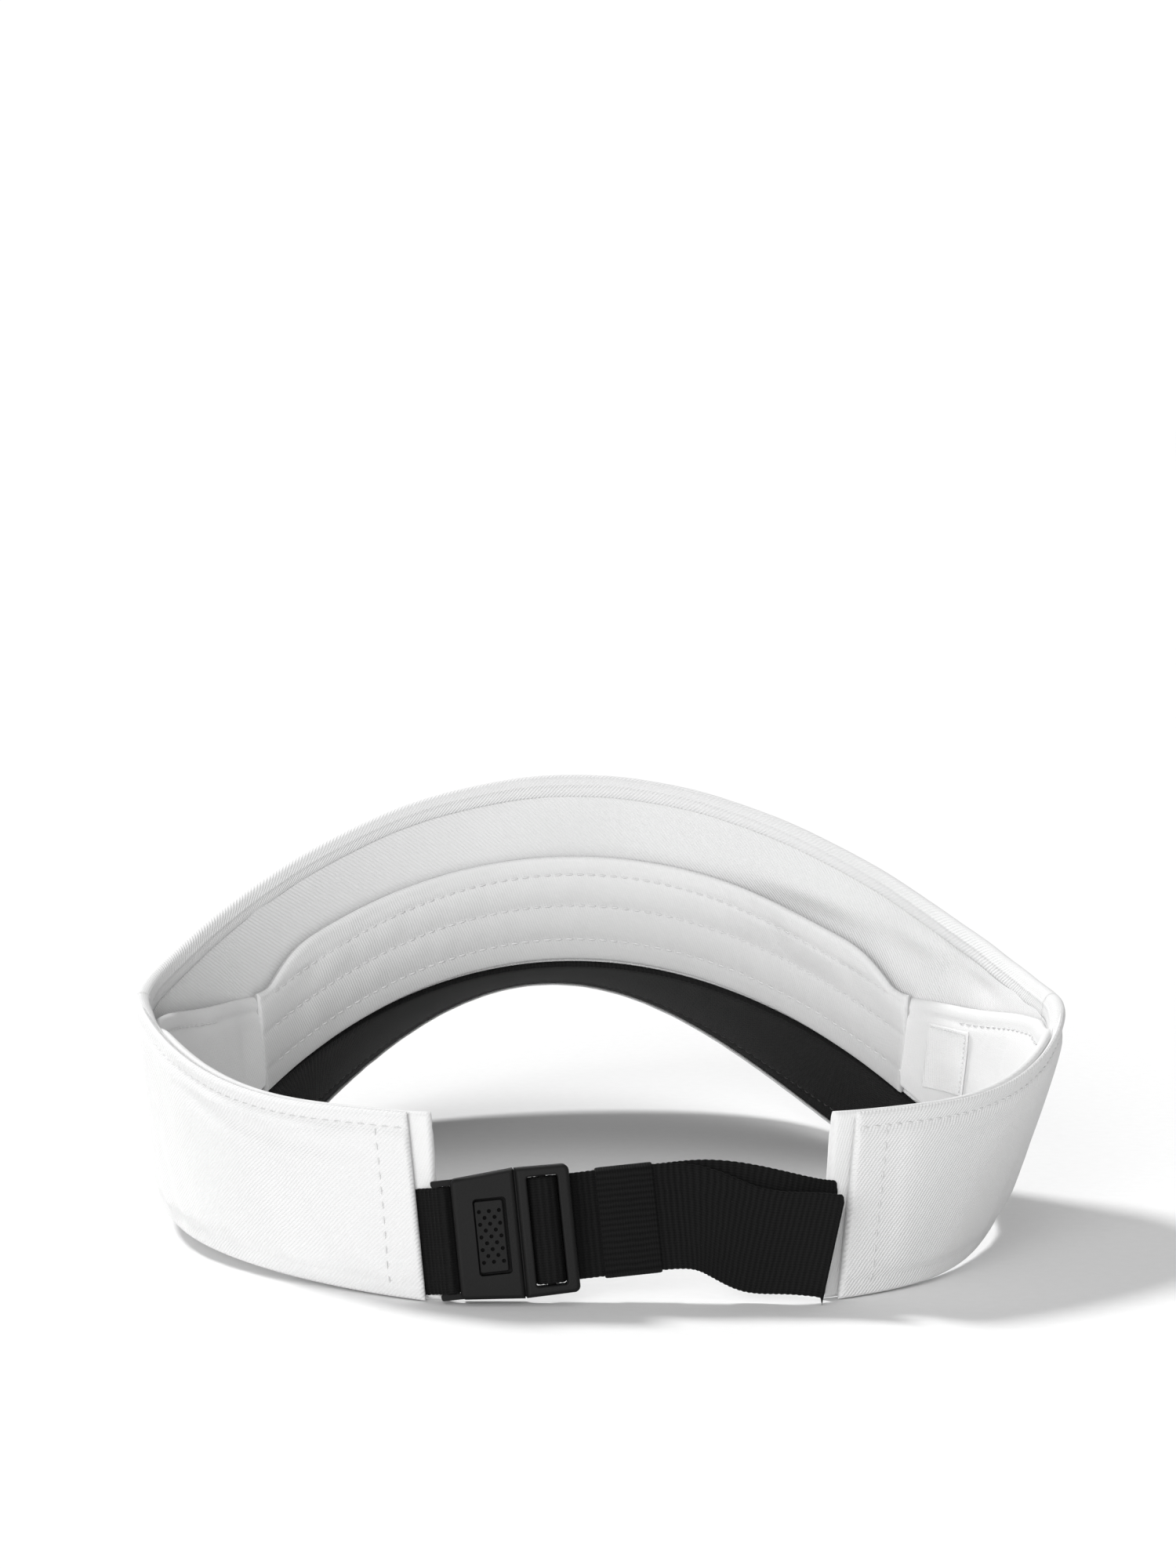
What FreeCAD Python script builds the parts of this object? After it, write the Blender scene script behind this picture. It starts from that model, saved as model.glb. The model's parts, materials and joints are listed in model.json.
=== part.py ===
# Sun visor: open crown, arched brim, two side arms, webbing strap with a side-release buckle.
# Millimetres. Origin at the centre of the head opening on the table plane.
# +Y towards the brim, +X to the wearer's right, +Z up.
import FreeCAD
import Part
import math
import os

# Wall of the visor, measured on its outside face.
LOW_HALF_WIDTH = 87.2
LOW_FRONT = 80.7
LOW_REAR = 95.3
HIGH_HALF_WIDTH = 96.6
HIGH_FRONT = 79.1
HIGH_REAR = 89.2
FRONT_LIFT = 44.8
FRONT_LIFT_POWER = 1.513
TEMPLE_LIFT = 4.5
TEMPLE_LIFT_POWER = 6
FRONT_TOP = 85.5
TEMPLE_TOP = 46.8
FRONT_TOP_POWER = 2.04
ARM_TOP = 35.3
ARM_TAPER_END = 140.0

# Angles round the wall, in degrees from the front.
TEMPLE_SEAM = 90.0
SEAM_GAP = 1.4
SWEATBAND_END = 54.0
INTERLINING_END = 66.0
HEM_LOW_X = 39.6
HEM_HIGH_X = 41.6

# Layers, as depths inwards from the outside face.
PANEL = (0.0, 0.8)
INTERLINING = (0.9, 1.3)
CROWN_LINING = (1.4, 2.0)
FOAM = (2.1, 3.6)
SWEATBAND = (3.7, 4.4)
HEM_FOLD = (0.9, 1.5)
STRAP_POCKET = (1.6, 2.6)
ARM_PADDING = (0.9, 2.6)
SIDE_LINING = (2.8, 3.4)
LABEL = (3.5, 3.8)
LABEL_ANGLES = (61.0, 71.0)
LABEL_Z = (21.0, 35.0)
ANCHOR_Z = 1.6
INSET = 2.0
BINDING_GAP = 0.1
BINDING_THICKNESS = 0.6
BINDING_LEG = 5.0
SWEATBAND_HEIGHT = 22.5
LINING_TOP = 39.5
CROWN_MEETS_ARM = 108.0
LINING_OVERHANG = 1.8

# Brim.
BRIM_REACH = 70.0
BRIM_HALF_WIDTH = 72.3
BRIM_SIDE_Y = 18.0
BRIM_TIP_Z = 29.4
BRIM_PLAN_POWER = 0.942
BRIM_ARCH_POWER = 2.757
BRIM_CORNER = 64.0
BRIM_SWEEP = 0.9
BRIM_CORNER_POWER = 24
BRIM_END = 0.93
BRIM_DROP = 2.0
BRIM_SEAM_DEPTH = 1.0
UNDER_COVER = (-1.5, -1.0)
BOARD = (-0.9, 0.7)
TOP_COVER = (0.8, 1.3)
EDGE_LEG = 4.5

# Buckle and strap. The buckle's own frame is s along the strap, w across it, n outwards.
BUCKLE_CENTRE = FreeCAD.Vector(-21.7, -84.6, 13.1)
BUCKLE_SLOPE = 6.0
BUCKLE_LEAN = 8.0
WEBBING_HALF = 10.0
WEBBING_THICKNESS = 1.0
STANDING_N = -3.4
TAIL_N = -2.25
STRAIGHT_END = 33.0
TAIL_END = FreeCAD.Vector(39.0, -89.0, 11.1)
FACE_N = 3.0
HOUSING_BACK = -2.9
HOUSING_LENGTH = 12.2
HOUSING_END_HALF = 11.3
SEAM_HALF = 12.3
CLIP_END_HALF = 12.1
CLIP_LENGTH = 10.4
CLIP_BACK = -1.5
HALF_SEAM = 0.15
EAR_REACH = 15.9
EAR_INNER = 10.2
EAR_HALF = 1.2
HOUSING_ROUND = 0.8
WINDOW_S = (-8.4, -2.1)
WINDOW_HALF = 7.3
PAD_S = (-8.15, -2.7)
PAD_HALF = 6.8
PAD_TOP = 2.6
DOT_RADIUS = 0.38
DOT_DEPTH = 0.35
DOT_PITCH_S = 0.95
DOT_PITCH_W = 2.4
SLOTS_S = (2.2, 8.1)
SLOT_HALF = 10.4
CENTRE_BAR_S = (4.4, 6.0)
BAR_S = -14.7
BAR_RADIUS = 1.0
LOOP_SLANT = 45.0
KEEPER = (15.6, 26.4)
KEEPER_WALL = 0.5


def smooth(t):
    """Rises from 0 to 1 with level ends."""
    t = min(max(t, 0.0), 1.0)
    return t * t * (3.0 - 2.0 * t)


def mix(a, b, t):
    return a + (b - a) * t


def steps(count):
    """Even fractions from 0 to 1."""
    return [i / (count - 1.0) for i in range(count)]


def low_z(angle):
    """Height of the wall's bottom edge."""
    c = max(math.cos(math.radians(angle)), 0.0)
    s = abs(math.sin(math.radians(angle)))
    return FRONT_LIFT * c ** FRONT_LIFT_POWER + TEMPLE_LIFT * s ** TEMPLE_LIFT_POWER


def high_z(angle):
    """Height of the wall's top edge."""
    c = math.cos(math.radians(angle))
    if c >= 0:
        return TEMPLE_TOP + (FRONT_TOP - TEMPLE_TOP) * c ** FRONT_TOP_POWER
    reach = -math.cos(math.radians(ARM_TAPER_END))
    return mix(ARM_TOP, TEMPLE_TOP, smooth(1.0 + c / reach))


def wall_face(angle, z):
    """A point of the wall's outside face."""
    rise = (z - low_z(angle)) / (high_z(angle) - low_z(angle))
    s = math.sin(math.radians(angle))
    c = math.cos(math.radians(angle))
    a = mix(LOW_HALF_WIDTH, HIGH_HALF_WIDTH, rise)
    b = mix(LOW_FRONT, HIGH_FRONT, rise) if c > 0 else mix(LOW_REAR, HIGH_REAR, rise)
    return FreeCAD.Vector(a * s, b * c, z)


def wall_normal(angle):
    """Level outward direction of the wall, the same at every height so that sections stay flat."""
    s = math.sin(math.radians(angle))
    c = math.cos(math.radians(angle))
    b = LOW_FRONT + HIGH_FRONT if c > 0 else LOW_REAR + HIGH_REAR
    normal = FreeCAD.Vector(s / (LOW_HALF_WIDTH + HIGH_HALF_WIDTH), c / b, 0)
    normal.normalize()
    return normal


def wall_point(angle, z, depth):
    """A point of the wall at this height, this deep behind the outside face."""
    return wall_face(angle, z) - wall_normal(angle) * depth


def loft(sections):
    """A solid through closed polygons."""
    wires = []
    for points in sections:
        wires.append(Part.makePolygon(points + [points[0]]))
    return Part.makeLoft(wires, True, False)


def wall_strip(start, end, low, high, depths, count):
    """A strip of the wall. start and end are (angle at its foot, angle at its head)."""
    sections = []
    for t in steps(count):
        foot = mix(start[0], end[0], t)
        head = mix(start[1], end[1], t)
        below = wall_face(foot, low(foot))
        above = wall_face(head, high(head))
        normal = wall_normal((foot + head) / 2.0)
        outer = normal * depths[0]
        inner = normal * depths[1]
        sections.append([below - outer, above - outer, above - inner, below - inner])
    return loft(sections)


def shifted(edge, amount):
    """The same edge, higher by this amount."""
    return lambda angle: edge(angle) + amount


def level(height):
    """An edge at one height all along."""
    return lambda angle: height


def crown_half_angle():
    return TEMPLE_SEAM - math.degrees(SEAM_GAP / 2.0 / LOW_HALF_WIDTH)


def crown_strip(reach, low, high, depths):
    return wall_strip((-reach, -reach), (reach, reach), low, high, depths, 25)


def front_panel():
    return crown_strip(crown_half_angle(), low_z, high_z, PANEL)


def front_interlining():
    low = shifted(low_z, INSET)
    high = shifted(high_z, -BINDING_LEG)
    return crown_strip(INTERLINING_END, low, high, INTERLINING)


def front_lining():
    return crown_strip(crown_half_angle(), low_z, high_z, CROWN_LINING)


def top_binding():
    """Folded tape over the crown's top edge."""
    outer = PANEL[0] - BINDING_GAP
    inner = CROWN_LINING[1] + BINDING_GAP
    skin = BINDING_THICKNESS
    reach = crown_half_angle()
    sections = []
    for t in steps(25):
        angle = mix(-reach, reach, t)
        top = high_z(angle)
        outline = [(top - BINDING_LEG, outer), (top - BINDING_LEG, outer - skin)]
        outline += [(top + BINDING_GAP + skin, outer - skin), (top + BINDING_GAP + skin, inner + skin)]
        outline += [(top - BINDING_LEG, inner + skin), (top - BINDING_LEG, inner)]
        outline += [(top + BINDING_GAP, inner), (top + BINDING_GAP, outer)]
        sections.append([wall_point(angle, z, depth) for z, depth in outline])
    return loft(sections)


def sweatband_top(angle):
    return low_z(angle) + SWEATBAND_HEIGHT


def sweatband():
    return crown_strip(SWEATBAND_END, low_z, sweatband_top, SWEATBAND)


def sweatband_foam():
    low = shifted(low_z, INSET)
    high = shifted(sweatband_top, -INSET)
    return crown_strip(SWEATBAND_END - 1.0, low, high, FOAM)


def lining_top(angle):
    """Top edge of the lining, which climbs to the arm's top edge where the crown ends."""
    if abs(angle) >= CROWN_MEETS_ARM:
        return high_z(angle)
    reach = (abs(angle) - SWEATBAND_END) / (CROWN_MEETS_ARM - SWEATBAND_END)
    return mix(LINING_TOP, high_z(CROWN_MEETS_ARM), reach * reach)


def temple_lining(side):
    start = side * (SWEATBAND_END + 0.6)
    end = side * crown_half_angle()
    return wall_strip((start, start), (end, end), low_z, lining_top, SIDE_LINING, 9)


def care_label():
    """Blank tab sewn to the lining at the right temple."""
    start, end = LABEL_ANGLES
    return wall_strip((start, start), (end, end), level(LABEL_Z[0]), level(LABEL_Z[1]), LABEL, 5)


def arm_end():
    """Angles of the arm's rear edge at its foot and head."""
    foot = 180.0 - math.degrees(math.asin(HEM_LOW_X / LOW_HALF_WIDTH))
    head = 180.0 - math.degrees(math.asin(HEM_HIGH_X / HIGH_HALF_WIDTH))
    return foot, head


def arm_strip(side, start, end, low, high, depths, count):
    """A strip of an arm. start and end are degrees back from its rear edge, or None for the temple seam."""
    foot, head = arm_end()
    seam = 2.0 * TEMPLE_SEAM - crown_half_angle()
    first = (seam, seam) if start is None else (foot - start, head - start)
    last = (foot - end, head - end)
    first = (side * first[0], side * first[1])
    last = (side * last[0], side * last[1])
    return wall_strip(first, last, low, high, depths, count)


def side_panel(side):
    return arm_strip(side, None, 0.0, low_z, high_z, PANEL, 13)


def side_padding(side):
    low = shifted(low_z, INSET)
    high = shifted(lining_top, -INSET)
    return arm_strip(side, None, 9.0, low, high, ARM_PADDING, 11)


def end_hem(side):
    """The panel's end folded back inside the arm."""
    low = shifted(low_z, PANEL[1])
    high = shifted(high_z, -PANEL[1])
    return arm_strip(side, 6.0, 0.4, low, high, HEM_FOLD, 4)


def strap_anchor(side):
    """The webbing's end sewn between the hem and the lining."""
    high = ANCHOR_Z + 2.0 * WEBBING_HALF
    return arm_strip(side, 8.0, 1.2, level(ANCHOR_Z), level(high), STRAP_POCKET, 4)


def side_lining(side):
    """Inner face of the arm, a little longer than the panel at its rear edge."""
    return arm_strip(side, None, -LINING_OVERHANG, low_z, lining_top, SIDE_LINING, 13)


def brim_root(u):
    """Where the brim meets the foot of the wall. u runs from -1 to 1 across it."""
    angle = BRIM_CORNER * u
    point = wall_point(angle, low_z(angle), BRIM_SEAM_DEPTH)
    return point - FreeCAD.Vector(0, 0, BRIM_DROP)


def brim_sweep(u):
    """The brim's free edge before its corners are drawn up to the wall."""
    t = abs(u) * BRIM_SWEEP * math.pi / 2.0
    c = math.cos(t)
    x = math.copysign(BRIM_HALF_WIDTH * math.sin(t), u)
    y = BRIM_SIDE_Y + (LOW_FRONT + BRIM_REACH - BRIM_SIDE_Y) * c ** BRIM_PLAN_POWER
    return FreeCAD.Vector(x, y, BRIM_TIP_Z * c ** BRIM_ARCH_POWER)


def brim_edge(u):
    """The brim's free edge, which turns up to the wall at its two corners."""
    corner = math.copysign(1, u)
    lift = brim_root(corner) - brim_sweep(corner)
    return brim_sweep(u) + lift * abs(u) ** BRIM_CORNER_POWER


def brim_frame(u):
    """Root, edge, outward direction and upward normal of the brim at u."""
    root = brim_root(u)
    edge = brim_edge(u)
    out = edge - root
    out.normalize()
    small = 0.01
    right = brim_edge(u + small) + brim_root(u + small)
    left = brim_edge(u - small) + brim_root(u - small)
    across = right - left
    up = across.cross(out)
    up.normalize()
    return root, edge, out, up


def brim_layer(heights):
    sections = []
    for t in steps(25):
        root, edge, out, up = brim_frame(mix(-BRIM_END, BRIM_END, t))
        corners = [(root, heights[0]), (edge, heights[0]), (edge, heights[1]), (root, heights[1])]
        sections.append([point + up * height for point, height in corners])
    return loft(sections)


def brim_edge_binding():
    """Folded tape round the brim's free edge."""
    skin = BINDING_THICKNESS
    low = UNDER_COVER[0] - BINDING_GAP
    high = TOP_COVER[1] + BINDING_GAP
    outline = [(-EDGE_LEG, low), (-EDGE_LEG, low - skin), (BINDING_GAP + skin, low - skin)]
    outline += [(BINDING_GAP + skin, high + skin), (-EDGE_LEG, high + skin), (-EDGE_LEG, high)]
    outline += [(BINDING_GAP, high), (BINDING_GAP, low)]
    sections = []
    for t in steps(25):
        root, edge, out, up = brim_frame(mix(-BRIM_END, BRIM_END, t))
        sections.append([edge + out * g + up * h for g, h in outline])
    return loft(sections)


def buckle_axes():
    """Unit vectors along the strap, across it and outwards."""
    slope = math.radians(BUCKLE_SLOPE)
    lean = math.radians(BUCKLE_LEAN)
    along = FreeCAD.Vector(math.cos(slope), 0, math.sin(slope))
    square = FreeCAD.Vector(-math.sin(slope), 0, math.cos(slope))
    across = square * math.cos(lean) + FreeCAD.Vector(0, math.sin(lean), 0)
    return along, across, along.cross(across)


def at_buckle(s, w, n):
    along, across, out = buckle_axes()
    return BUCKLE_CENTRE + along * s + across * w + out * n


def place(shape):
    """Moves a shape from the buckle's frame to the visor's."""
    e, a, m = buckle_axes()
    c = BUCKLE_CENTRE
    matrix = FreeCAD.Matrix(e.x, a.x, m.x, c.x, e.y, a.y, m.y, c.y, e.z, a.z, m.z, c.z)
    moved = shape.copy()
    moved.Placement = FreeCAD.Placement(matrix)
    return moved


def block(s, w, n):
    """A box in the buckle's frame from its three ranges."""
    corner = FreeCAD.Vector(s[0], w[0], n[0])
    return Part.makeBox(s[1] - s[0], w[1] - w[0], n[1] - n[0], corner)


def plate(outline, n):
    """A plate in the buckle's frame from its outline and n range."""
    points = [FreeCAD.Vector(s, w, n[0]) for s, w in outline]
    face = Part.Face(Part.makePolygon(points + [points[0]]))
    return face.extrude(FreeCAD.Vector(0, 0, n[1] - n[0]))


def soften(shape, radius, level):
    """Rounds the edges that lie at this n."""
    edges = []
    for edge in shape.Edges:
        box = edge.BoundBox
        if abs(box.ZMin - level) < 1e-6 and abs(box.ZMax - level) < 1e-6:
            edges.append(edge)
    return shape.makeFillet(radius, edges)


def round_corners(shape, radius, low, high):
    """Rounds the upright corners whose s lies between low and high."""
    edges = []
    for edge in shape.Edges:
        box = edge.BoundBox
        upright = box.XLength < 1e-6 and box.YLength < 1e-6
        if upright and low < box.XMin < high:
            edges.append(edge)
    return shape.makeFillet(radius, edges)


def buckle_housing():
    """The half with the press window, and a bar behind it for the short loop."""
    outline = [(-HOUSING_LENGTH, -HOUSING_END_HALF), (-HALF_SEAM, -SEAM_HALF)]
    outline += [(-HALF_SEAM, SEAM_HALF), (-HOUSING_LENGTH, HOUSING_END_HALF)]
    body = plate(outline, (HOUSING_BACK, FACE_N))
    body = round_corners(body, 1.0, -HOUSING_LENGTH - 1.0, -HOUSING_LENGTH + 1.0)
    body = soften(body, HOUSING_ROUND, FACE_N)
    body = soften(body, HOUSING_ROUND, HOUSING_BACK)
    for side in (-1, 1):
        w = sorted((side * EAR_INNER, side * HOUSING_END_HALF))
        ear = block((-EAR_REACH, -HOUSING_LENGTH + 1.2), w, (-EAR_HALF, EAR_HALF))
        body = body.fuse(round_corners(ear, 0.4, -EAR_REACH - 1.0, -EAR_REACH + 1.0))
    bar_start = FreeCAD.Vector(BAR_S, -EAR_INNER - 0.4, 0)
    bar_length = 2.0 * EAR_INNER + 0.8
    body = body.fuse(Part.makeCylinder(BAR_RADIUS, bar_length, bar_start, FreeCAD.Vector(0, 1, 0)))
    mouth = block((-10.0, 1.0), (-9.5, 9.5), (-1.9, 1.5))
    window = block(WINDOW_S, (-WINDOW_HALF, WINDOW_HALF), (1.0, FACE_N + 1.0))
    window = round_corners(window, 0.7, -20.0, 0.0)
    return place(body.cut(mouth).cut(window).removeSplitter())


def soften_inside(body):
    """Rounds the front rim of the strap window."""
    edges = []
    for edge in body.Edges:
        box = edge.BoundBox
        level = abs(box.ZMin - FACE_N) < 1e-6 and abs(box.ZMax - FACE_N) < 1e-6
        inside = box.XMin > SLOTS_S[0] - 0.01 and box.XMax < SLOTS_S[1] + 0.01
        if level and inside:
            edges.append(edge)
    return body.makeFillet(0.4, edges)


def clip_frame():
    """The half with the strap window, a centre bar and two guide prongs."""
    outline = [(HALF_SEAM, -SEAM_HALF), (CLIP_LENGTH, -CLIP_END_HALF)]
    outline += [(CLIP_LENGTH, CLIP_END_HALF), (HALF_SEAM, SEAM_HALF)]
    body = plate(outline, (CLIP_BACK, FACE_N))
    body = round_corners(body, 1.2, CLIP_LENGTH - 1.0, CLIP_LENGTH + 1.0)
    body = soften(body, 0.8, FACE_N)
    opening = block(SLOTS_S, (-SLOT_HALF, SLOT_HALF), (CLIP_BACK - 1.0, FACE_N + 1.0))
    body = body.cut(round_corners(opening, 0.5, -1.0, 20.0))
    body = soften_inside(body)
    bar = block(CENTRE_BAR_S, (-SLOT_HALF - 0.2, SLOT_HALF + 0.2), (-0.3, 1.2))
    body = body.fuse(soften(bar, 0.5, 1.2))
    for side in (-1, 1):
        w = sorted((side * 7.6, side * 9.3))
        prong = block((-9.2, 1.0), w, (-1.2, 1.2))
        body = body.fuse(round_corners(prong, 0.6, -10.0, 0.0))
    return place(body.removeSplitter())


def pad_dots():
    """Centres of the pad's dimples: three columns of five with two columns of four between."""
    dots = []
    middle = (PAD_S[0] + PAD_S[1]) / 2.0
    for column in range(-2, 3):
        count = 5 if column % 2 == 0 else 4
        for row in range(count):
            w = (row - (count - 1) / 2.0) * DOT_PITCH_W
            dots.append((middle + column * DOT_PITCH_S, w))
    return dots


def release_latch():
    """Sprung tongue with the dotted press pad that shows in the housing's window."""
    tongue = block((-9.0, 0.0), (-7.2, 7.2), (-0.6, 0.4))
    pad = block(PAD_S, (-PAD_HALF, PAD_HALF), (0.3, PAD_TOP))
    pad = round_corners(pad, 0.5, -20.0, 0.0)
    latch = tongue.fuse(soften(pad, 0.25, PAD_TOP))
    for s, w in pad_dots():
        dot = Part.makeCylinder(DOT_RADIUS, 1.0, FreeCAD.Vector(s, w, PAD_TOP - DOT_DEPTH))
        latch = latch.cut(dot)
    return place(latch.removeSplitter())


def keeper_loop():
    """Flat ring round both layers of the strap."""
    half = WEBBING_HALF + 0.15
    back = STANDING_N - WEBBING_THICKNESS / 2.0 - 0.15
    front = TAIL_N + WEBBING_THICKNESS / 2.0 + 0.15
    wall = KEEPER_WALL
    outer = block(KEEPER, (-half - wall, half + wall), (back - wall, front + wall))
    inner = block((KEEPER[0] - 1.0, KEEPER[1] + 1.0), (-half, half), (back, front))
    return place(outer.cut(inner))


def ribbon(centres, widths):
    """Webbing along a line of centre points, with the width direction at each."""
    sections = []
    last = len(centres) - 1
    for i, centre in enumerate(centres):
        ahead = centres[min(i + 1, last)] - centres[max(i - 1, 0)]
        width = FreeCAD.Vector(widths[i])
        width.normalize()
        thick = ahead.cross(width)
        thick.normalize()
        w = width * WEBBING_HALF
        n = thick * (WEBBING_THICKNESS / 2.0)
        sections.append([centre - w - n, centre + w - n, centre + w + n, centre - w + n])
    return loft(sections)


def local_ribbon(path):
    """Webbing along (s, n) points of the buckle's frame."""
    across = buckle_axes()[1]
    return ribbon([at_buckle(s, 0, n) for s, n in path], [across] * len(path))


def curve(start, start_way, end, end_way, count):
    """Points of a smooth curve between two points with given end directions."""
    points = []
    for t in steps(count):
        square = t * t
        cube = square * t
        point = start * (2 * cube - 3 * square + 1) + start_way * (cube - 2 * square + t)
        point += end * (3 * square - 2 * cube) + end_way * (cube - square)
        points.append(point)
    return points


def left_loop_webbing():
    """Short doubled webbing round the housing's bar, its two ends towards the left arm."""
    turn = BAR_RADIUS + 0.1 + WEBBING_THICKNESS / 2.0
    legs = [(2.5, 0.58), (1.8, 0.9), (0.8, 1.4)]
    path = [(t, -q) for t, q in legs]
    for degrees in range(-90, 91, 22):
        angle = math.radians(degrees)
        path.append((-turn * math.cos(angle), turn * math.sin(angle)))
    path += reversed(legs)
    c = math.cos(math.radians(LOOP_SLANT))
    s = math.sin(math.radians(LOOP_SLANT))
    return local_ribbon([(BAR_S - t * c - q * s, -t * s + q * c) for t, q in path])


def hem_point(side, z, depth):
    foot, head = arm_end()
    return wall_point(side * mix(foot, head, z / ARM_TOP), z, depth)


def standing_webbing():
    """The strap from the right arm to the buckle's left slot."""
    along, across, out = buckle_axes()
    pocket = (STRAP_POCKET[0] + STRAP_POCKET[1]) / 2.0
    start = at_buckle(STRAIGHT_END, 0, STANDING_N)
    end = hem_point(1, 12.3, pocket) + FreeCAD.Vector(-0.9, -0.5, 0)
    hem_way = FreeCAD.Vector(0.874, 0.487, -0.1)
    bend = curve(start, along * 30.0, end, hem_way * 30.0, 9)
    straight = [at_buckle(s, 0, STANDING_N) for s in (5.9, 15.0, 24.0)]
    hem_up = hem_point(1, 30.0, pocket) - hem_point(1, 2.0, pocket)
    hem_up.normalize()
    widths = [across] * 3
    widths += [across * (1.0 - smooth(t)) + hem_up * smooth(t) for t in steps(9)]
    return ribbon(straight + bend, widths)


def wrapped_webbing():
    """The strap's turn through the two slots, over the centre bar."""
    path = [(5.8, -3.4), (4.6, -3.3), (3.6, -2.6), (3.25, -1.4), (3.25, 0.4)]
    path += [(3.5, 1.3), (4.2, 1.8), (5.2, 1.9), (6.2, 1.8), (6.85, 1.3)]
    path += [(7.1, 0.4), (7.1, -0.7), (7.35, -1.6), (8.0, -2.15), (8.8, TAIL_N)]
    return local_ribbon(path)


def strap_tail():
    """The strap's free end, through the keeper and past the right arm."""
    along, across, out = buckle_axes()
    start = at_buckle(STRAIGHT_END - 3.0, 0, TAIL_N)
    way = FreeCAD.Vector(1.0, -0.15, -0.15)
    bend = curve(start, along * 28.0, TAIL_END, way * 28.0, 9)
    straight = [at_buckle(s, 0, TAIL_N) for s in (8.9, 16.0, 23.0)]
    upright = FreeCAD.Vector(0.05, 0.02, 1.0)
    widths = [across] * 3
    widths += [across * (1.0 - smooth(t)) + upright * smooth(t) for t in steps(9)]
    return ribbon(straight + bend, widths)


def arm_nodes(name, side):
    return {
        name + "_side_panel": side_panel(side),
        name + "_side_padding": side_padding(side),
        name + "_end_hem": end_hem(side),
        name + "_strap_anchor": strap_anchor(side),
        name + "_side_lining": side_lining(side),
        name + "_temple_lining": temple_lining(side),
    }


def visor():
    """Every sub-part by name."""
    nodes = {
        "front_panel": front_panel(),
        "front_interlining": front_interlining(),
        "front_lining": front_lining(),
        "top_binding": top_binding(),
        "sweatband": sweatband(),
        "sweatband_foam": sweatband_foam(),
        "care_label": care_label(),
        "brim_board": brim_layer(BOARD),
        "brim_top_cover": brim_layer(TOP_COVER),
        "brim_under_cover": brim_layer(UNDER_COVER),
        "brim_edge_binding": brim_edge_binding(),
        "buckle_housing": buckle_housing(),
        "left_loop_webbing": left_loop_webbing(),
        "clip_frame": clip_frame(),
        "wrapped_webbing": wrapped_webbing(),
        "release_latch": release_latch(),
        "standing_webbing": standing_webbing(),
        "strap_tail": strap_tail(),
        "keeper_loop": keeper_loop(),
    }
    nodes.update(arm_nodes("left", -1))
    nodes.update(arm_nodes("right", 1))
    return nodes


os.makedirs("parts", exist_ok=True)
for node, shape in visor().items():
    shape.exportStep("parts/" + node + ".step")
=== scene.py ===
# Sun visor: fabric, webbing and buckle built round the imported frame.
# Shapes are worked out in millimetres and turned into metres when a mesh is made.
import json
import math

import bmesh
import bpy
import numpy as np
from mathutils import Matrix, Vector, geometry, noise


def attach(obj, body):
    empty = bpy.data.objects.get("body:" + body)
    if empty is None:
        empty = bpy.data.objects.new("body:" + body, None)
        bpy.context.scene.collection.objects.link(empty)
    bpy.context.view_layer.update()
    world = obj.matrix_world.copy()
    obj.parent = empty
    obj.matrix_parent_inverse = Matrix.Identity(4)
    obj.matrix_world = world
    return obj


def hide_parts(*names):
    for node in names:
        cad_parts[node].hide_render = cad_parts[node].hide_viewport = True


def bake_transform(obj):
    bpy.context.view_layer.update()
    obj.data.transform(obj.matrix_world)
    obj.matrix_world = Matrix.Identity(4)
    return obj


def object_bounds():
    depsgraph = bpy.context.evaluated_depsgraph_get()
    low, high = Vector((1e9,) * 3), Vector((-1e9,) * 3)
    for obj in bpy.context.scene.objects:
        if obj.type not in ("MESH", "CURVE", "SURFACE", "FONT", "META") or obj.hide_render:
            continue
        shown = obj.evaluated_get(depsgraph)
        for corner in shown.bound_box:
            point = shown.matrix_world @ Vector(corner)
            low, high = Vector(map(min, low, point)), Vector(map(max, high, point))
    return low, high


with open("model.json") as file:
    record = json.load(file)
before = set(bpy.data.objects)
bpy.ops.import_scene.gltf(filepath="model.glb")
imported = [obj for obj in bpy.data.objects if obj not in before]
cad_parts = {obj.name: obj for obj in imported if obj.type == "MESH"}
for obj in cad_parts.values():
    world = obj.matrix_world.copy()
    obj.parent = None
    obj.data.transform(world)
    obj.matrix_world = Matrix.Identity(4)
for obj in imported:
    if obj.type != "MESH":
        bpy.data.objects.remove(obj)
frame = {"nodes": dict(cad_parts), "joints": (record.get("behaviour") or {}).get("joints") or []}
cad_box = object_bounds()

MM = 0.001

# Wall of the visor. Angles are in degrees round from the front, positive towards the right arm.
SECTION_EDGE = 0.25  # height of the band taken as a strip's foot or head
TABLE_END = 152  # last angle read from the CAD
TABLE_REACH = 160  # last angle of the table, beyond the arms' ends
TEMPLE_SEAM = 90.0
CROWN_MEETS_ARM = 108.0
SLUMP = -4.4  # how far to the right the foot of the wall sits at both temples
SLUMP_FADE = 1.4
SLUMP_STARTS = (64.0, 94.0)
SLUMP_ENDS = (112.0, 146.0)
REAR_LEAN = 1.2  # degrees that the arms' rear edges lean
INNER_FACE = 400.0  # added to a fabric coordinate on the side that faces the head

# Cloth simulation.
SETTLE_FRAMES = 14
SETTLE_LIMIT = 0.5
SETTLE_EASE = 4  # smoothing passes over the movement
SETTLE_HOLD = 0.035  # half width of a stitch row, as a share of the height
END_RINGS = 9  # rings of a slab's rolled ends, which stay put

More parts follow.
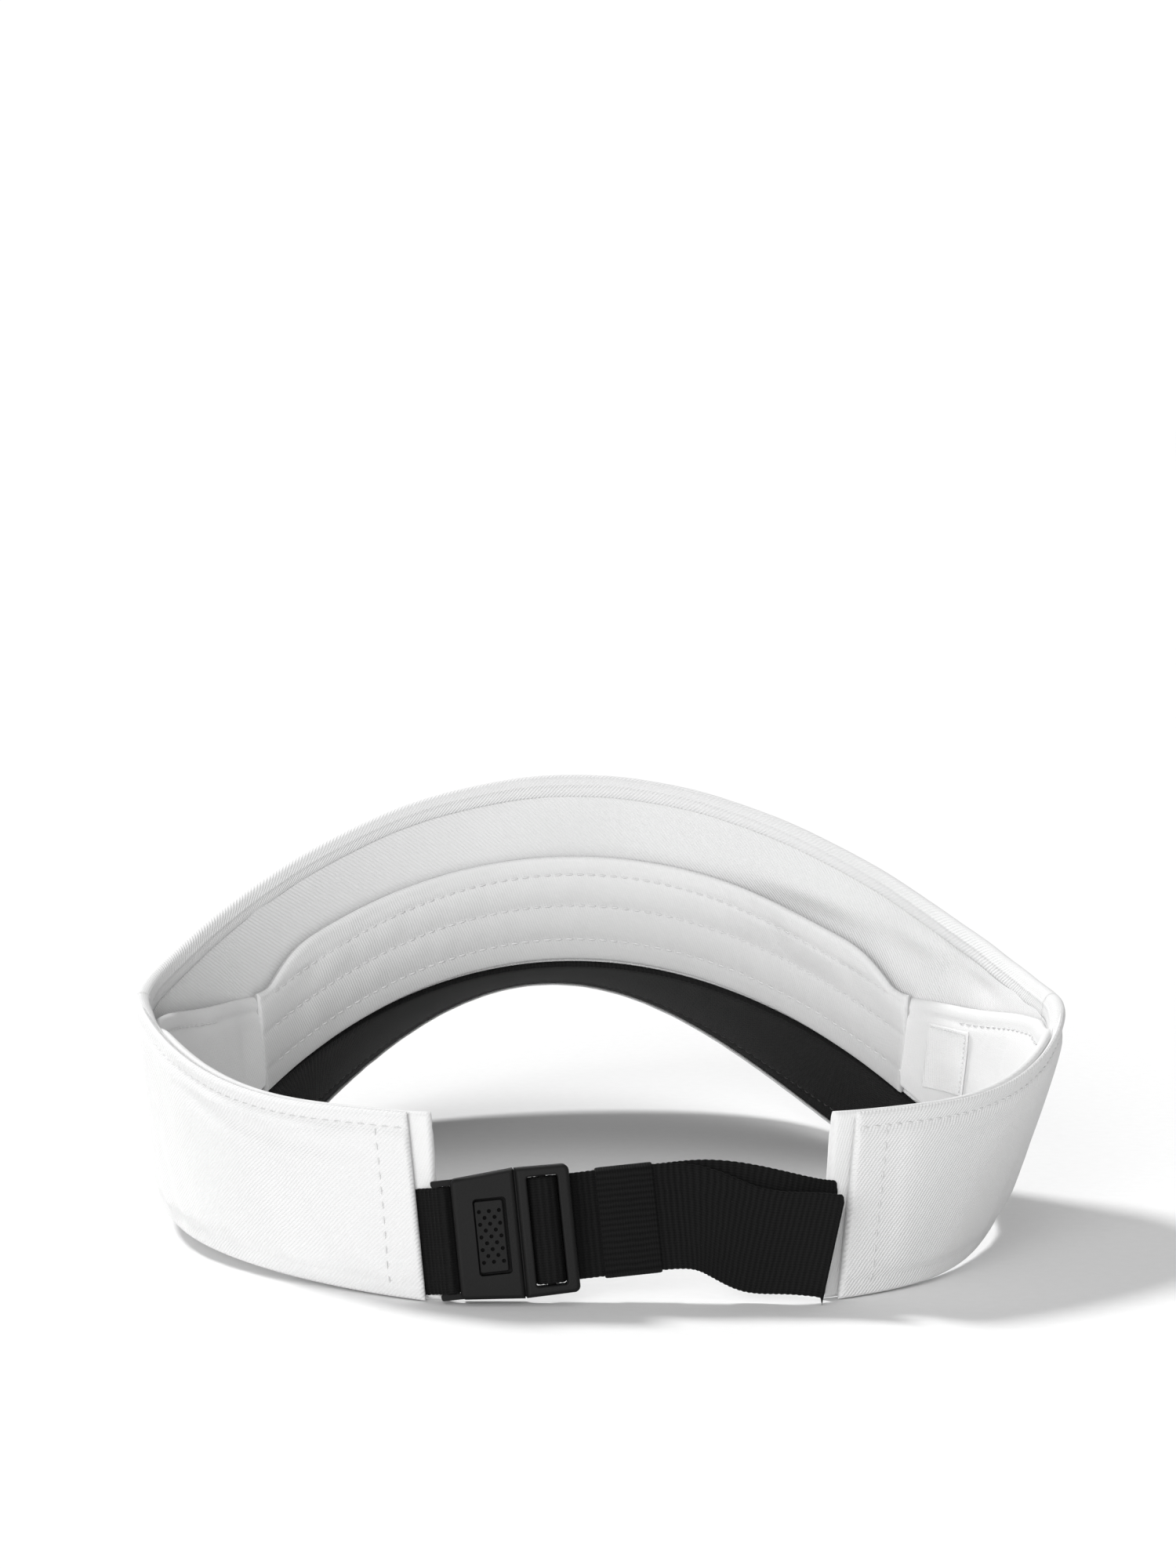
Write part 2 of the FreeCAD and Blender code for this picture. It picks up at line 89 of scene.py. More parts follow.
# Binding, stitches and sweatband.
BINDING_LEG = 4.8
BINDING_SINKS = 96.0
HEM_WIDTH_DEGREES = 4.2
SWEATBAND_ROWS = (4.7, 12.4, 19.6)
SWEATBAND_DIP = (14.0, 5.5)  # degrees before its ends, and millimetres down
ARM_ROW_OUTER = 3.0
ARM_ROW_INNER = 3.2

# Brim.
BRIM_ROW = 7.0
BRIM_SEAM_DEPTH = 1.0
BRIM_DROP = 2.0
BRIM_TURN = math.radians(75.3)
BOARD_TOP = 0.7
EDGE_LEG_TOP = 4.5
EDGE_LEG_BELOW = 0.7
EDGE_ROW = 3.2

# Buckle, in the clip's own frame: s along the strap, w across it, n outwards.
CLIP_LENGTH = 10.4
FACE_N = 3.0
PAD_S = (-8.15, -2.7)
PAD_DIMPLES = (2.35, 5.6)
BAR_S = -14.7
LIP_LOW = (-0.14, -12.0, -1.2)
LIP_HIGH = (0.3, 12.0, 2.2)

# Webbing.
WEBBING_HALF = 10.0
WEBBING_THICKNESS = 1.0
RIB_PITCH = 1.1
RIB_STEPS = 6
MARCH_STEP = 0.5
MARCH_BASE = 8
LOOP_CENTRE_S = -14.1
LOOP_TURN = 1.65
KEEPER_SKIN = 0.75
KEEPER_TURN = 1.1
SAG_AT = 45.0
SAG_DEPTH = 2.8
SAG_WIDTH = 8.7
WRAP_PATH = ((6.2, -3.4), (4.8, -3.35), (3.5, -2.8), (2.7, -1.5), (2.7, 0.3),
             (2.95, 1.35), (3.9, 1.95), (5.2, 2.1), (6.4, 1.95), (7.25, 1.35),
             (7.5, 0.4), (7.5, -0.7), (7.6, -1.6), (8.1, -2.2), (9.0, -2.25))

# Camera and lights.
CAMERA_PLACE = (-0.0688, -0.8693, 0.1709)
CAMERA_VIEW = (0.0748, 0.9930, -0.0916)
CAMERA_LENS = 96.6
CAMERA_ROLL = 0.684
FLOOR_REACH = 30.0
FLOOR_GAP = 0.0002
SKY_LIGHT = 0.45
SKY_SEEN = 1.05
KEY_FROM = (-0.45, 0.55, 0.7)
KEY_LIGHT = 2.7
KEY_SPREAD = 12.0
FILL_FROM = (-0.36, -0.92, 0.16)
FILL_LIGHT = 3.0
FILL_SPREAD = 50.0


# ---- reading the frame

def node_points(node):
    """Corner points of a CAD node, in millimetres."""
    return np.array([v.co for v in frame["nodes"][node].data.vertices]) / MM


def node_edges(node):
    """The two ends of each mesh edge of a CAD node, in millimetres."""
    points = node_points(node)
    pairs = np.array([e.vertices[:] for e in frame["nodes"][node].data.edges])
    return points[pairs[:, 0]], points[pairs[:, 1]]


def plane_cut(edges, across, level):
    """Where mesh edges cross the plane at this level of the direction across."""
    first, last = edges
    before = first @ across - level
    after = last @ across - level
    hit = before * after < 0
    share = before[hit] / (before[hit] - after[hit])
    return first[hit] + (last[hit] - first[hit]) * share[:, None]


def section(edges, angle):
    """(radius, height) points where the half plane at this angle cuts a strip of the wall."""
    a = math.radians(angle)
    cut = plane_cut(edges, np.array([math.cos(a), -math.sin(a), 0.0]), 0.0)
    radius = cut @ np.array([math.sin(a), math.cos(a), 0.0])
    return radius[radius > 0], cut[radius > 0, 2]


def edge_corners(edges, angle):
    """Radius and height of a strip's outside face at its foot and at its head."""
    radius, height = section(edges, angle)
    foot = height < height.min() + SECTION_EDGE
    head = height > height.max() - SECTION_EDGE
    return radius[foot].max(), height.min(), radius[head].max(), height.max()


def smooth_table(values):
    """Evens out the facets of the CAD mesh in a table."""
    weights = np.array([1.0, 2.0, 3.0, 2.0, 1.0]) / 9.0
    padded = np.concatenate([2 * values[0] - values[2:0:-1], values, 2 * values[-1] - values[-2:-4:-1]])
    return np.convolve(padded, weights, "valid")


def read_wall():
    """Angle, foot radius, foot height, head radius and head height of the wall's outside face."""
    crown = node_edges("front_panel")
    sides = {-1: node_edges("left_side_panel"), 1: node_edges("right_side_panel")}
    rows = []
    for angle in range(-TABLE_END, TABLE_END + 1):
        if abs(abs(angle) - TEMPLE_SEAM) < 1.5:
            continue
        edges = crown if abs(angle) < TEMPLE_SEAM else sides[1 if angle > 0 else -1]
        rows.append((angle,) + edge_corners(edges, angle))
    rows = np.array(rows)
    angles = np.arange(-TABLE_END, TABLE_END + 1.0)
    columns = [smooth_table(np.interp(angles, rows[:, 0], rows[:, k])) for k in range(1, 5)]
    beyond = np.arange(1.0, TABLE_REACH - TABLE_END + 1)
    table = [np.concatenate([-TABLE_END - beyond[::-1], angles, TABLE_END + beyond])]
    for column in columns:
        left = column[0] + (column[0] - column[3]) / 3.0 * beyond[::-1]
        right = column[-1] + (column[-1] - column[-4]) / 3.0 * beyond
        table.append(np.concatenate([left, column, right]))
    return table


WALL = read_wall()
MID_RADIUS = (WALL[1] + WALL[3]) / 2.0
MID_SLOPE = np.gradient(MID_RADIUS, np.radians(WALL[0]))
ARC = np.concatenate([[0.0], np.cumsum(np.hypot(MID_RADIUS, MID_SLOPE)[1:] * math.radians(1.0))])
ARC -= np.interp(0.0, WALL[0], ARC)


def low_z(angle):
    """Height of the wall's foot."""
    return np.interp(angle, WALL[0], WALL[2])


def high_z(angle):
    """Height of the wall's head."""
    return np.interp(angle, WALL[0], WALL[4])


def arc(angle):
    """Distance round the wall from the front."""
    return np.interp(angle, WALL[0], ARC)


def angle_at(distance):
    """The angle at this distance round the wall."""
    return np.interp(distance, ARC, WALL[0])


def normal(angle):
    """Level outward direction of the wall."""
    radius = np.interp(angle, WALL[0], MID_RADIUS)
    slope = np.interp(angle, WALL[0], MID_SLOPE)
    s, c = np.sin(np.radians(angle)), np.cos(np.radians(angle))
    out = np.stack([radius * s - slope * c, radius * c + slope * s, np.zeros_like(radius)], -1)
    return out / np.linalg.norm(out, axis=-1, keepdims=True)


def wall(angle, z, depth):
    """Points of the wall: degrees round from the front, height, and depth behind the outside face."""
    angle, z, depth = np.broadcast_arrays(np.asarray(angle, float), z, depth)
    foot = np.interp(angle, WALL[0], WALL[1])
    head = np.interp(angle, WALL[0], WALL[3])
    rise = (z - low_z(angle)) / (high_z(angle) - low_z(angle))
    radius = foot + (head - foot) * rise
    a = np.radians(angle)
    away = np.abs(angle)
    below = np.maximum(1.0 - rise, 0.0) ** SLUMP_FADE
    slump = SLUMP * below * ramp(away, *SLUMP_STARTS) * (1.0 - ramp(away, *SLUMP_ENDS))
    face = np.stack([radius * np.sin(a) + slump, radius * np.cos(a), z], -1)
    return face - normal(angle) * depth[..., None]


def rear_edge(node):
    """Angles of an arm strip's rear edge at its foot and at its head."""
    points = node_points(node)
    angles = np.degrees(np.arctan2(np.abs(points[:, 0]), points[:, 1]))
    foot = angles[points[:, 2] < low_z(TABLE_END) + 3.0].max()
    head = angles[points[:, 2] > high_z(TABLE_END) - 3.0].max()
    return foot, head


def strip_top(node):
    """Height of a strip's head as a function of the angle."""
    edges = node_edges(node)
    points = node_points(node)
    around = np.degrees(np.arctan2(points[:, 0], points[:, 1]))
    angles = np.linspace(around.min() + 3.0, around.max() - 3.0, 60)
    heights = [section(edges, a)[1].max() for a in angles]
    return lambda angle: np.interp(angle, angles, heights)


# ---- small tools

def smooth(t):
    """Rises from 0 to 1 as t does, with level ends."""
    t = np.clip(t, 0.0, 1.0)
    return t * t * (3.0 - 2.0 * t)


def ramp(x, start, end):
    """Rises from 0 at start to 1 at end, with level ends."""
    return smooth((x - start) / (end - start))


def mix(a, b, t):
    """From a at t = 0 to b at t = 1."""
    return a + (b - a) * t


def bump(x, centre, width):
    """A soft hump of height 1."""
    return np.exp(-((x - centre) / width) ** 2)


def rumple(x, y, scale_x, scale_y, seed):
    """Smooth noise between -1 and 1 over two coordinates."""
    x, y = np.broadcast_arrays(x, y)
    flat = [noise.noise(Vector((a / scale_x, b / scale_y, seed))) for a, b in zip(x.ravel(), y.ravel())]
    return np.array(flat).reshape(x.shape)


def unit(v):
    """The same directions, with length 1."""
    return v / np.linalg.norm(v, axis=-1, keepdims=True)


def run_length(points):
    """Distance from the first point to each one, along the line through them."""
    steps = np.linalg.norm(np.diff(points, axis=0), axis=1)
    return np.concatenate([[0.0], np.cumsum(steps)])


# ---- materials

def new_material(name):
    """An empty principled material and its nodes."""
    material = bpy.data.materials.new(name)
    material.use_nodes = True
    tree = material.node_tree
    return material, tree, tree.nodes["Principled BSDF"]


def node(tree, kind, **values):
    """Adds a node, setting its properties or numbered inputs."""
    made = tree.nodes.new(kind)
    for key, value in values.items():
        if key.startswith("in_"):
            made.inputs[key[3:].replace("_", " ")].default_value = value
        else:
            setattr(made, key, value)
    return made


def maths(tree, operation, first, second=None):
    """A maths node fed by sockets or numbers."""
    made = tree.nodes.new("ShaderNodeMath")
    made.operation = operation
    for index, value in enumerate((first, second)):
        if value is None:
            continue
        if isinstance(value, (int, float)):
            made.inputs[index].default_value = value
        else:
            tree.links.new(value, made.inputs[index])
    return made.outputs[0]


def fabric_coordinates(tree):
    """The two fabric coordinates in millimetres, from the UV map."""
    uv = node(tree, "ShaderNodeUVMap", uv_map="fabric")
    parts = node(tree, "ShaderNodeSeparateXYZ")
    tree.links.new(uv.outputs[0], parts.inputs[0])
    return uv.outputs[0], parts.outputs[0], parts.outputs[1]


def waves(tree, coordinate, pitch):
    """A sine along a coordinate, from 0 to 1, with this pitch in millimetres."""
    turned = maths(tree, "MULTIPLY", coordinate, 2.0 * math.pi / pitch)
    return maths(tree, "MULTIPLY_ADD", maths(tree, "SINE", turned), 0.5)


def noise_value(tree, vector, scale, detail):
    """Noise from 0 to 1 over a vector socket."""
    made = node(tree, "ShaderNodeTexNoise", in_Scale=scale, in_Detail=detail)
    tree.links.new(vector, made.inputs["Vector"])
    return made.outputs["Fac"]


def blend_colour(tree, amount, first, second):
    """Mixes two colours by a socket."""
    made = node(tree, "ShaderNodeMix", data_type="RGBA")
    tree.links.new(amount, made.inputs[0])
    made.inputs[6].default_value = first + (1.0,)
    made.inputs[7].default_value = second + (1.0,)
    return made.outputs[2]


def grey(tone):
    """A grey as a colour."""
    return (tone, tone, tone)


def woven(name, light, dark, pitch, relief, roughness, sheen, slant=1.0, weft=0.0, shine=0.25):
    """Woven cloth: slanted ridges, uneven yarn and faint soiling, over millimetre coordinates. The colour
    also darkens in the weave's hollows, as painted shade that goes with the bump.
    """
    material, tree, shader = new_material(name)
    uv, across, up = fabric_coordinates(tree)
    wobble = noise_value(tree, uv, 0.35, 2.0)
    diagonal = maths(tree, "ADD", across, maths(tree, "MULTIPLY", up, slant))
    diagonal = maths(tree, "ADD", diagonal, maths(tree, "MULTIPLY", wobble, 0.5))
    ridge = waves(tree, diagonal, pitch)
    yarn = waves(tree, up, pitch * 0.45)
    grain = noise_value(tree, uv, 3.0, 3.0)
    height = maths(tree, "ADD", ridge, maths(tree, "MULTIPLY", yarn, 0.25 + weft))
    height = maths(tree, "ADD", height, maths(tree, "MULTIPLY", grain, 0.9))
    cloud = noise_value(tree, uv, 0.03, 3.0)
    # the colour follows the weave's height, so the hollows get painted shade; the cloud adds faint soiling
    tone = maths(tree, "MULTIPLY", height, 0.3)
    tone = maths(tree, "ADD", tone, maths(tree, "MULTIPLY", cloud, 0.35))
    colour = blend_colour(tree, tone, dark, light)
    tree.links.new(colour, shader.inputs["Base Color"])
    lump = node(tree, "ShaderNodeBump", in_Strength=relief, in_Distance=0.0002)
    tree.links.new(height, lump.inputs["Height"])
    tree.links.new(lump.outputs[0], shader.inputs["Normal"])
    for key, value in (("Roughness", roughness), ("Specular IOR Level", shine),
                       ("Sheen Weight", sheen), ("Sheen Roughness", 0.5)):
        shader.inputs[key].default_value = value
    return material


def plastic(name, tone, roughness, grain_size):
    """Moulded plastic with a fine spark-eroded grain, polished in patches."""
    material, tree, shader = new_material(name)
    place = node(tree, "ShaderNodeTexCoord")
    grain = noise_value(tree, place.outputs["Object"], grain_size, 4.0)
    patches = noise_value(tree, place.outputs["Object"], 90.0, 2.0)
    colour = blend_colour(tree, patches, grey(tone * 0.7), grey(tone * 1.4))
    tree.links.new(colour, shader.inputs["Base Color"])
    rough = maths(tree, "MULTIPLY_ADD", patches, 0.25)
    rough.node.inputs[2].default_value = roughness - 0.12
    tree.links.new(rough, shader.inputs["Roughness"])
    shader.inputs["Specular IOR Level"].default_value = 0.12
    lump = node(tree, "ShaderNodeBump", in_Strength=0.35, in_Distance=0.0001)
    tree.links.new(grain, lump.inputs["Height"])
    tree.links.new(lump.outputs[0], shader.inputs["Normal"])
    return material


def paint_shade_at_foot(material, reach, amount):
    """Painted shade: darkens the inner face's colour towards its foot, where the sweatband looks down on the
    shaded floor and the brim's dark underside.
    """
    tree = material.node_tree
    shader = tree.nodes["Principled BSDF"]
    unshaded_colour = shader.inputs["Base Color"].links[0].from_socket
    up = fabric_coordinates(tree)[2]
    near = maths(tree, "DIVIDE", maths(tree, "SUBTRACT", INNER_FACE + reach, up), reach)
    near.node.use_clamp = True
    mixed = node(tree, "ShaderNodeMix", data_type="RGBA", blend_type="MULTIPLY")
    tree.links.new(near, mixed.inputs[0])
    tree.links.new(unshaded_colour, mixed.inputs[6])
    mixed.inputs[7].default_value = grey(amount) + (1.0,)
    tree.links.new(mixed.outputs[2], shader.inputs["Base Color"])


TWILL = woven("white_twill_cloth", grey(0.73), grey(0.64), 0.9, 0.5, 0.85, 0.25)
LINING = woven("white_lining_cloth", grey(0.72), grey(0.66), 0.6, 0.25, 0.75, 0.15, 0.4, 0.3)
SWEATBAND = woven("white_sweatband_cloth", grey(0.70), grey(0.62), 0.6, 0.25, 0.75, 0.15, 0.4, 0.3)
# painted shade: the sweatband's colour darkens towards its foot
paint_shade_at_foot(SWEATBAND, 22.0, 0.68)
TAPE = woven("white_tape_cloth", grey(0.78), grey(0.64), 0.7, 0.3, 0.8, 0.3, 0.15, 0.5)
THREAD = woven("white_thread", grey(0.78), grey(0.55), 0.35, 0.4, 0.6, 0.3, 1.0)
BLACK_TWILL = woven("black_twill_cloth", grey(0.015), grey(0.004), 0.85, 0.6, 0.85, 0.03, shine=0.08)
BLACK_THREAD = woven("black_thread", grey(0.030), grey(0.010), 0.35, 0.4, 0.6, 0.2)
WEBBING = woven("black_webbing_cloth", grey(0.013), grey(0.0), RIB_PITCH, 0.6, 0.75, 0.02, 0.0, 0.3,
                shine=0.05)
PLASTIC = plastic("black_moulded_plastic", 0.008, 0.55, 2600.0)
# painted shade: darker plastic for the pad's dimples, which are also rougher
DIMPLE_SHADE = plastic("black_dimple_plastic_with_painted_shade", 0.002, 0.9, 2600.0)


# ---- meshes

def make_object(name, points, faces, corner_uv, material):
    """A smooth-shaded mesh object in metres, with a fabric UV map in millimetres."""
    mesh = bpy.data.meshes.new(name)
    mesh.from_pydata((points * MM).tolist(), [], faces)
    layer = mesh.uv_layers.new(name="fabric")
    layer.data.foreach_set("uv", np.asarray(corner_uv, np.float32).ravel())
    mesh.materials.append(material)
    solid = bmesh.new()
    solid.from_mesh(mesh)
    bmesh.ops.recalc_face_normals(solid, faces=solid.faces)
    solid.to_mesh(mesh)
    solid.free()
    mesh.polygons.foreach_set("use_smooth", np.ones(len(mesh.polygons), bool))
    mesh.update()
    made = bpy.data.objects.new(name, mesh)
    bpy.context.scene.collection.objects.link(made)
    return made


def ring_mesh(name, rings, run, rise, material):
    """A closed tube through rings of points. Point j of a ring faces point (last - j) across its thickness.
    run and rise are each point's fabric coordinates in millimetres."""
    rings, run, rise = np.array(rings), np.array(run), np.array(rise)
    count, size = rings.shape[:2]
    faces, uvs = [], []
    for i in range(count - 1):
        for j in range(size):
            k = (j + 1) % size
            faces.append((i * size + j, (i + 1) * size + j, (i + 1) * size + k, i * size + k))
            wrap = rise[i, j] if k == 0 else rise[i, k]
            uvs.append([(run[i, j], rise[i, j]), (run[i + 1, j], rise[i + 1, j]),
                        (run[i + 1, k], wrap), (run[i, k], wrap)])
    for i, flip in ((0, False), (count - 1, True)):
        for j in range(size // 2 - 1):
            quad = [j, j + 1, size - 2 - j, size - 1 - j]
            quad = quad[::-1] if flip else quad
            faces.append(tuple(i * size + q for q in quad))
            uvs.append([(run[i, q], rise[i, q]) for q in quad])
    return make_object(name, rings.reshape(-1, 3), faces, np.array(uvs).reshape(-1, 2), material)


def settle_freedom(rings, rows, seams, inner_face, sewn):
    """How freely each point of a slab may move, from 0 to 1: only on one face, not at its edges or seams."""
    size = 2 * (rows + 10)
    one_face = rounded_rows(1.0, (0.02, 0.03), rows)[0]
    rise = np.concatenate([one_face, one_face[::-1]])
    free = smooth((rise - 0.03) / 0.08) * smooth((0.97 - rise) / 0.06)
    for seam in seams:
        free = free * (1.0 - bump(rise, seam, SETTLE_HOLD))
    inward = np.arange(size) >= size // 2
    free = free * (inward == inner_face)
    ring = np.arange(rings)
    ends = smooth((ring - END_RINGS) / 6.0) * smooth((rings - 1.0 - END_RINGS - ring) / 6.0)
    if sewn is not None:
        share = ring / (rings - 1.0)
        ends = ends * (1.0 - smooth((share - sewn[0]) / 0.03 + 1.0) * smooth((sewn[1] - share) / 0.03 + 1.0))
    return (ends[:, None] * free[None, :]).ravel()


def add_cloth(piece):
    """A cloth modifier with a little inner pressure, no gravity, and its held points in the group held."""
    cloth = piece.modifiers.new("Cloth", "CLOTH")
    for key, value in (
            ("vertex_group_mass", "held"), ("quality", 5), ("mass", 0.001), ("air_damping", 4.0),
            ("tension_stiffness", 2.0), ("compression_stiffness", 2.0), ("shear_stiffness", 1.0),
            ("bending_stiffness", 0.3), ("tension_damping", 2.0), ("compression_damping", 2.0),
            ("shrink_min", -0.02), ("use_pressure", True), ("uniform_pressure_force", 120.0)):
        setattr(cloth.settings, key, value)
    cloth.settings.effector_weights.gravity = 0.0
    cloth.collision_settings.use_collision = False
    cloth.collision_settings.use_self_collision = False
    cloth.point_cache.frame_start = 1
    cloth.point_cache.frame_end = SETTLE_FRAMES
    return cloth


def settle(piece, rows, seams, inner_face, sewn=None):
    """Short cloth simulation of a padded slab with this many rows: its filling presses one face out between
    the seams that hold it, given as shares of the height. sewn is the share of the length that something is
    sewn on to, which stays put."""
    before = np.array([v.co for v in piece.data.vertices])
    size = 2 * (rows + 10)
    rings = len(before) // size
    free = settle_freedom(rings, rows, seams, inner_face, sewn)
    held = piece.vertex_groups.new(name="held")
    for index, weight in enumerate(1.0 - free):
        held.add([index], float(weight), "REPLACE")
    cloth = add_cloth(piece)
    scene = bpy.context.scene
    for frame_number in range(1, SETTLE_FRAMES + 1):
        scene.frame_set(frame_number)
    settled = piece.evaluated_get(bpy.context.evaluated_depsgraph_get()).data
    after = np.array([v.co for v in settled.vertices])
    piece.modifiers.remove(cloth)
    piece.vertex_groups.remove(held)
    scene.frame_set(1)
    moved = (after - before).reshape(rings, size, 3)
    for _ in range(SETTLE_EASE):
        moved[1:-1] = (moved[:-2] + 2.0 * moved[1:-1] + moved[2:]) / 4.0
        moved[:, 1:-1] = (moved[:, :-2] + 2.0 * moved[:, 1:-1] + moved[:, 2:]) / 4.0
    moved = moved.reshape(-1, 3) * np.sqrt(free)[:, None]
    reach = np.linalg.norm(moved, axis=1) / MM
    moved *= (np.tanh(reach / SETTLE_LIMIT) * SETTLE_LIMIT / np.maximum(reach, 1e-6))[:, None]
    piece.data.vertices.foreach_set("co", (before + moved).ravel())
    piece.data.update()


def fit(piece, body, slot, *nodes):
    """Rides a piece on a body and lets it stand for CAD nodes."""
    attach(piece, body)
    if nodes:
        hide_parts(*nodes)


def rounded_rows(height, rolls, rows):
    """Heights up a strip and the share of its thickness there, with rounded foot and head."""
    turn = np.radians(np.array([10.0, 25.0, 42.0, 60.0, 78.0]))
    low = rolls[0] * (1.0 - np.cos(turn))
    high = rolls[1] * (1.0 - np.cos(turn))
    middle = np.linspace(rolls[0], height - rolls[1], rows)
    s = np.concatenate([low, middle, height - high[::-1]])
    share = np.concatenate([np.sin(turn), np.ones(rows), np.sin(turn)[::-1]])
    return s, share


def run_steps(length, spacing, roll):
    """Distances along a strip and the share of its thickness there, with rounded ends."""
    turn = np.radians(np.array([12.0, 30.0, 50.0, 70.0]))
    start = roll * (1.0 - np.cos(turn))
    middle = np.linspace(roll, length - roll, max(int(length / spacing), 4))
    share = np.concatenate([np.sin(turn), np.ones(len(middle)), np.sin(turn)[::-1]])
    return np.concatenate([start, middle, length - start[::-1]]), share


def no_relief(x, s, height):
    """A flat face."""
    return np.zeros(np.broadcast(x, s).shape)


def wall_slab(name, start, end, low, high, depth, material, rolls=(0.5, 0.5), end_roll=0.5,
              spacing=1.3, rows=26, outer=no_relief, inner=no_relief, lean=no_relief):
    """Cloth lying on the wall, with rounded edges. start and end are (angle at its foot, angle at its head).
    outer and inner give how far each face stands proud, and lean how far the whole strip stands off inwards,
    from the distance round, the height above the strip's foot and the strip's height."""
    length = abs(arc((end[0] + end[1]) / 2.0) - arc((start[0] + start[1]) / 2.0))
    along, thick = run_steps(length, spacing, end_roll)
    middle = (depth[0] + depth[1]) / 2.0
    rings, runs, rises = [], [], []
    for t, share in zip(along / length, thick):
        foot, head = mix(start[0], end[0], t), mix(start[1], end[1], t)
        height = float(high(head) - low(foot))
        s, edge = rounded_rows(height, rolls, rows)
        angle = mix(foot, head, s / height)
        z = low(foot) + s
        x = arc(angle)
        half = (depth[1] - depth[0]) / 2.0 * edge * share
        off = middle + lean(x, s, height)
        front = wall(angle, z, off - half - outer(x, s, height) * edge * share)
        back = wall(angle, z, off + half + inner(x, s, height) * edge * share)
        rings.append(np.concatenate([front, back[::-1]]))
        runs.append(np.concatenate([x, x[::-1]]))
        rises.append(np.concatenate([s, (s + INNER_FACE)[::-1]]))
    if arc((end[0] + end[1]) / 2.0) < arc((start[0] + start[1]) / 2.0):
        rings, runs, rises = rings[::-1], runs[::-1], rises[::-1]
    return ring_mesh(name, rings, runs, rises, material)


def stitches(name, rows, material, pitch=3.0, length=2.1, radius=0.19):
    """Raised stitches along rows. A row is a function from a distance in millimetres to a point and its
    outward direction, with the distances it starts and ends at. Each stitch is a short thread that dips into
    the cloth at both ends."""
    points, faces, uvs = [], [], []
    sides, rings = 6, 6
    for place, begin, finish in rows:
        count = max(int((finish - begin) / pitch), 1)
        for k in range(count):
            centre = begin + (k + 0.5) * (finish - begin) / count
            base = len(points)
            for i in range(rings):
                t = i / (rings - 1.0) * 2.0 - 1.0
                at = centre + t * length / 2.0
                point, out = place(at)
                ahead = unit(place(at + 0.05)[0] - place(at - 0.05)[0])
                side = unit(np.cross(ahead, out))
                lift = radius * (0.75 - 1.5 * t * t)
                thin = radius * math.sqrt(max(1.0 - 0.75 * t * t, 0.05))
                for j in range(sides):
                    turn = 2.0 * math.pi * j / sides
                    offset = side * (math.cos(turn) * thin) + out * (math.sin(turn) * thin * 0.8 + lift)
                    points.append(point + offset)
            for i in range(rings - 1):
                for j in range(sides):
                    near, far = base + i * sides, base + (i + 1) * sides
                    beside = (j + 1) % sides
                    faces.append((near + j, far + j, far + beside, near + beside))
                    uvs += [(i * 0.3, j * 0.2), (i * 0.3 + 0.3, j * 0.2),
                            (i * 0.3 + 0.3, j * 0.2 + 0.2), (i * 0.3, j * 0.2 + 0.2)]
            faces.append(tuple(base + j for j in range(sides)))
            uvs += [(0.0, j * 0.2) for j in range(sides)]
            last = base + (rings - 1) * sides
            faces.append(tuple(last + j for j in reversed(range(sides))))
            uvs += [(1.5, j * 0.2) for j in range(sides)]
    return make_object(name, np.array(points), faces, np.array(uvs), material)


def line_row(points, outs):
    """A stitch row along a line of points, as stitches() takes it."""
    length = run_length(points)

    def place(distance):
        at = [np.interp(distance, length, points[:, k]) for k in range(3)]
        out = [np.interp(distance, length, outs[:, k]) for k in range(3)]
        return np.array(at), unit(np.array(out))
    return place, 0.0, length[-1]


# ---- crown

def crown_outer_relief(x, s, height):
    """Faint waves of the stiffened front panel, drawn in along its foot."""
    return 0.25 * rumple(x, s, 38.0, 30.0, 3.1) - 0.3 * bump(s, 0.0, 2.0)


def long_fold(x, s, height):
    """A soft fold that starts over the sweatband's free edge on the right and ends at the temple."""
    over = s - 26.0 - 0.14 * (x - 58.0)
    strength = 0.95 * bump(x, 56.0, 15.0) + 0.7 * bump(x, 84.0, 9.0) + bump(x, 105.0, 6.0)
    fold = strength * (1.6 * bump(over, 4.8, 3.0) - 0.85 * bump(over, -0.6, 2.6))
    return fold * smooth((height - 4.0 - s) / 4.0)


def crown_inner_relief(x, s, height):
    """Soft waves of the lining above the sweatband, with hollows at the front and at the left."""
    waves_all = 0.4 * rumple(x, s, 26.0, 18.0, 8.4) * smooth(s / 20.0)
    hollow = -0.9 * bump(x, 3.0, 13.0) * bump(s, 26.5, 6.0)
    left_fold = -1.0 * bump(x, -118.0, 12.0) * bump(s, 40.0, 6.0)
    relief = (waves_all + hollow + left_fold) * smooth((height - s) / 6.0) + long_fold(x, s, height)
    return np.maximum(relief, -0.85)


def crown_head(angle):
    """Head of the crown's cloth, inside the fold of the binding."""
    return high_z(angle) - 0.8


def crown_foot(angle):
    """Foot of the crown's cloth, which reaches down to the brim where there is one."""
    return low_z(angle) - 1.5 * smooth((BRIM_CORNER + 3.0 - np.abs(angle)) / 5.0)


def make_crown():
    """Front panel and its lining."""
    span = (-TEMPLE_SEAM, -TEMPLE_SEAM), (TEMPLE_SEAM, TEMPLE_SEAM), crown_foot, crown_head
    panel = wall_slab("crown_front_panel", *span, (0.0, 1.0), TWILL, spacing=1.5, rows=34,
                      outer=crown_outer_relief)
    fit(panel, "crown", "white_twill", "front_panel", "front_interlining")
    lining = wall_slab("crown_lining", *span, (1.05, 2.0), TWILL, spacing=1.5, rows=34,
                       inner=crown_inner_relief)
    fit(lining, "crown", "white_twill", "front_lining")


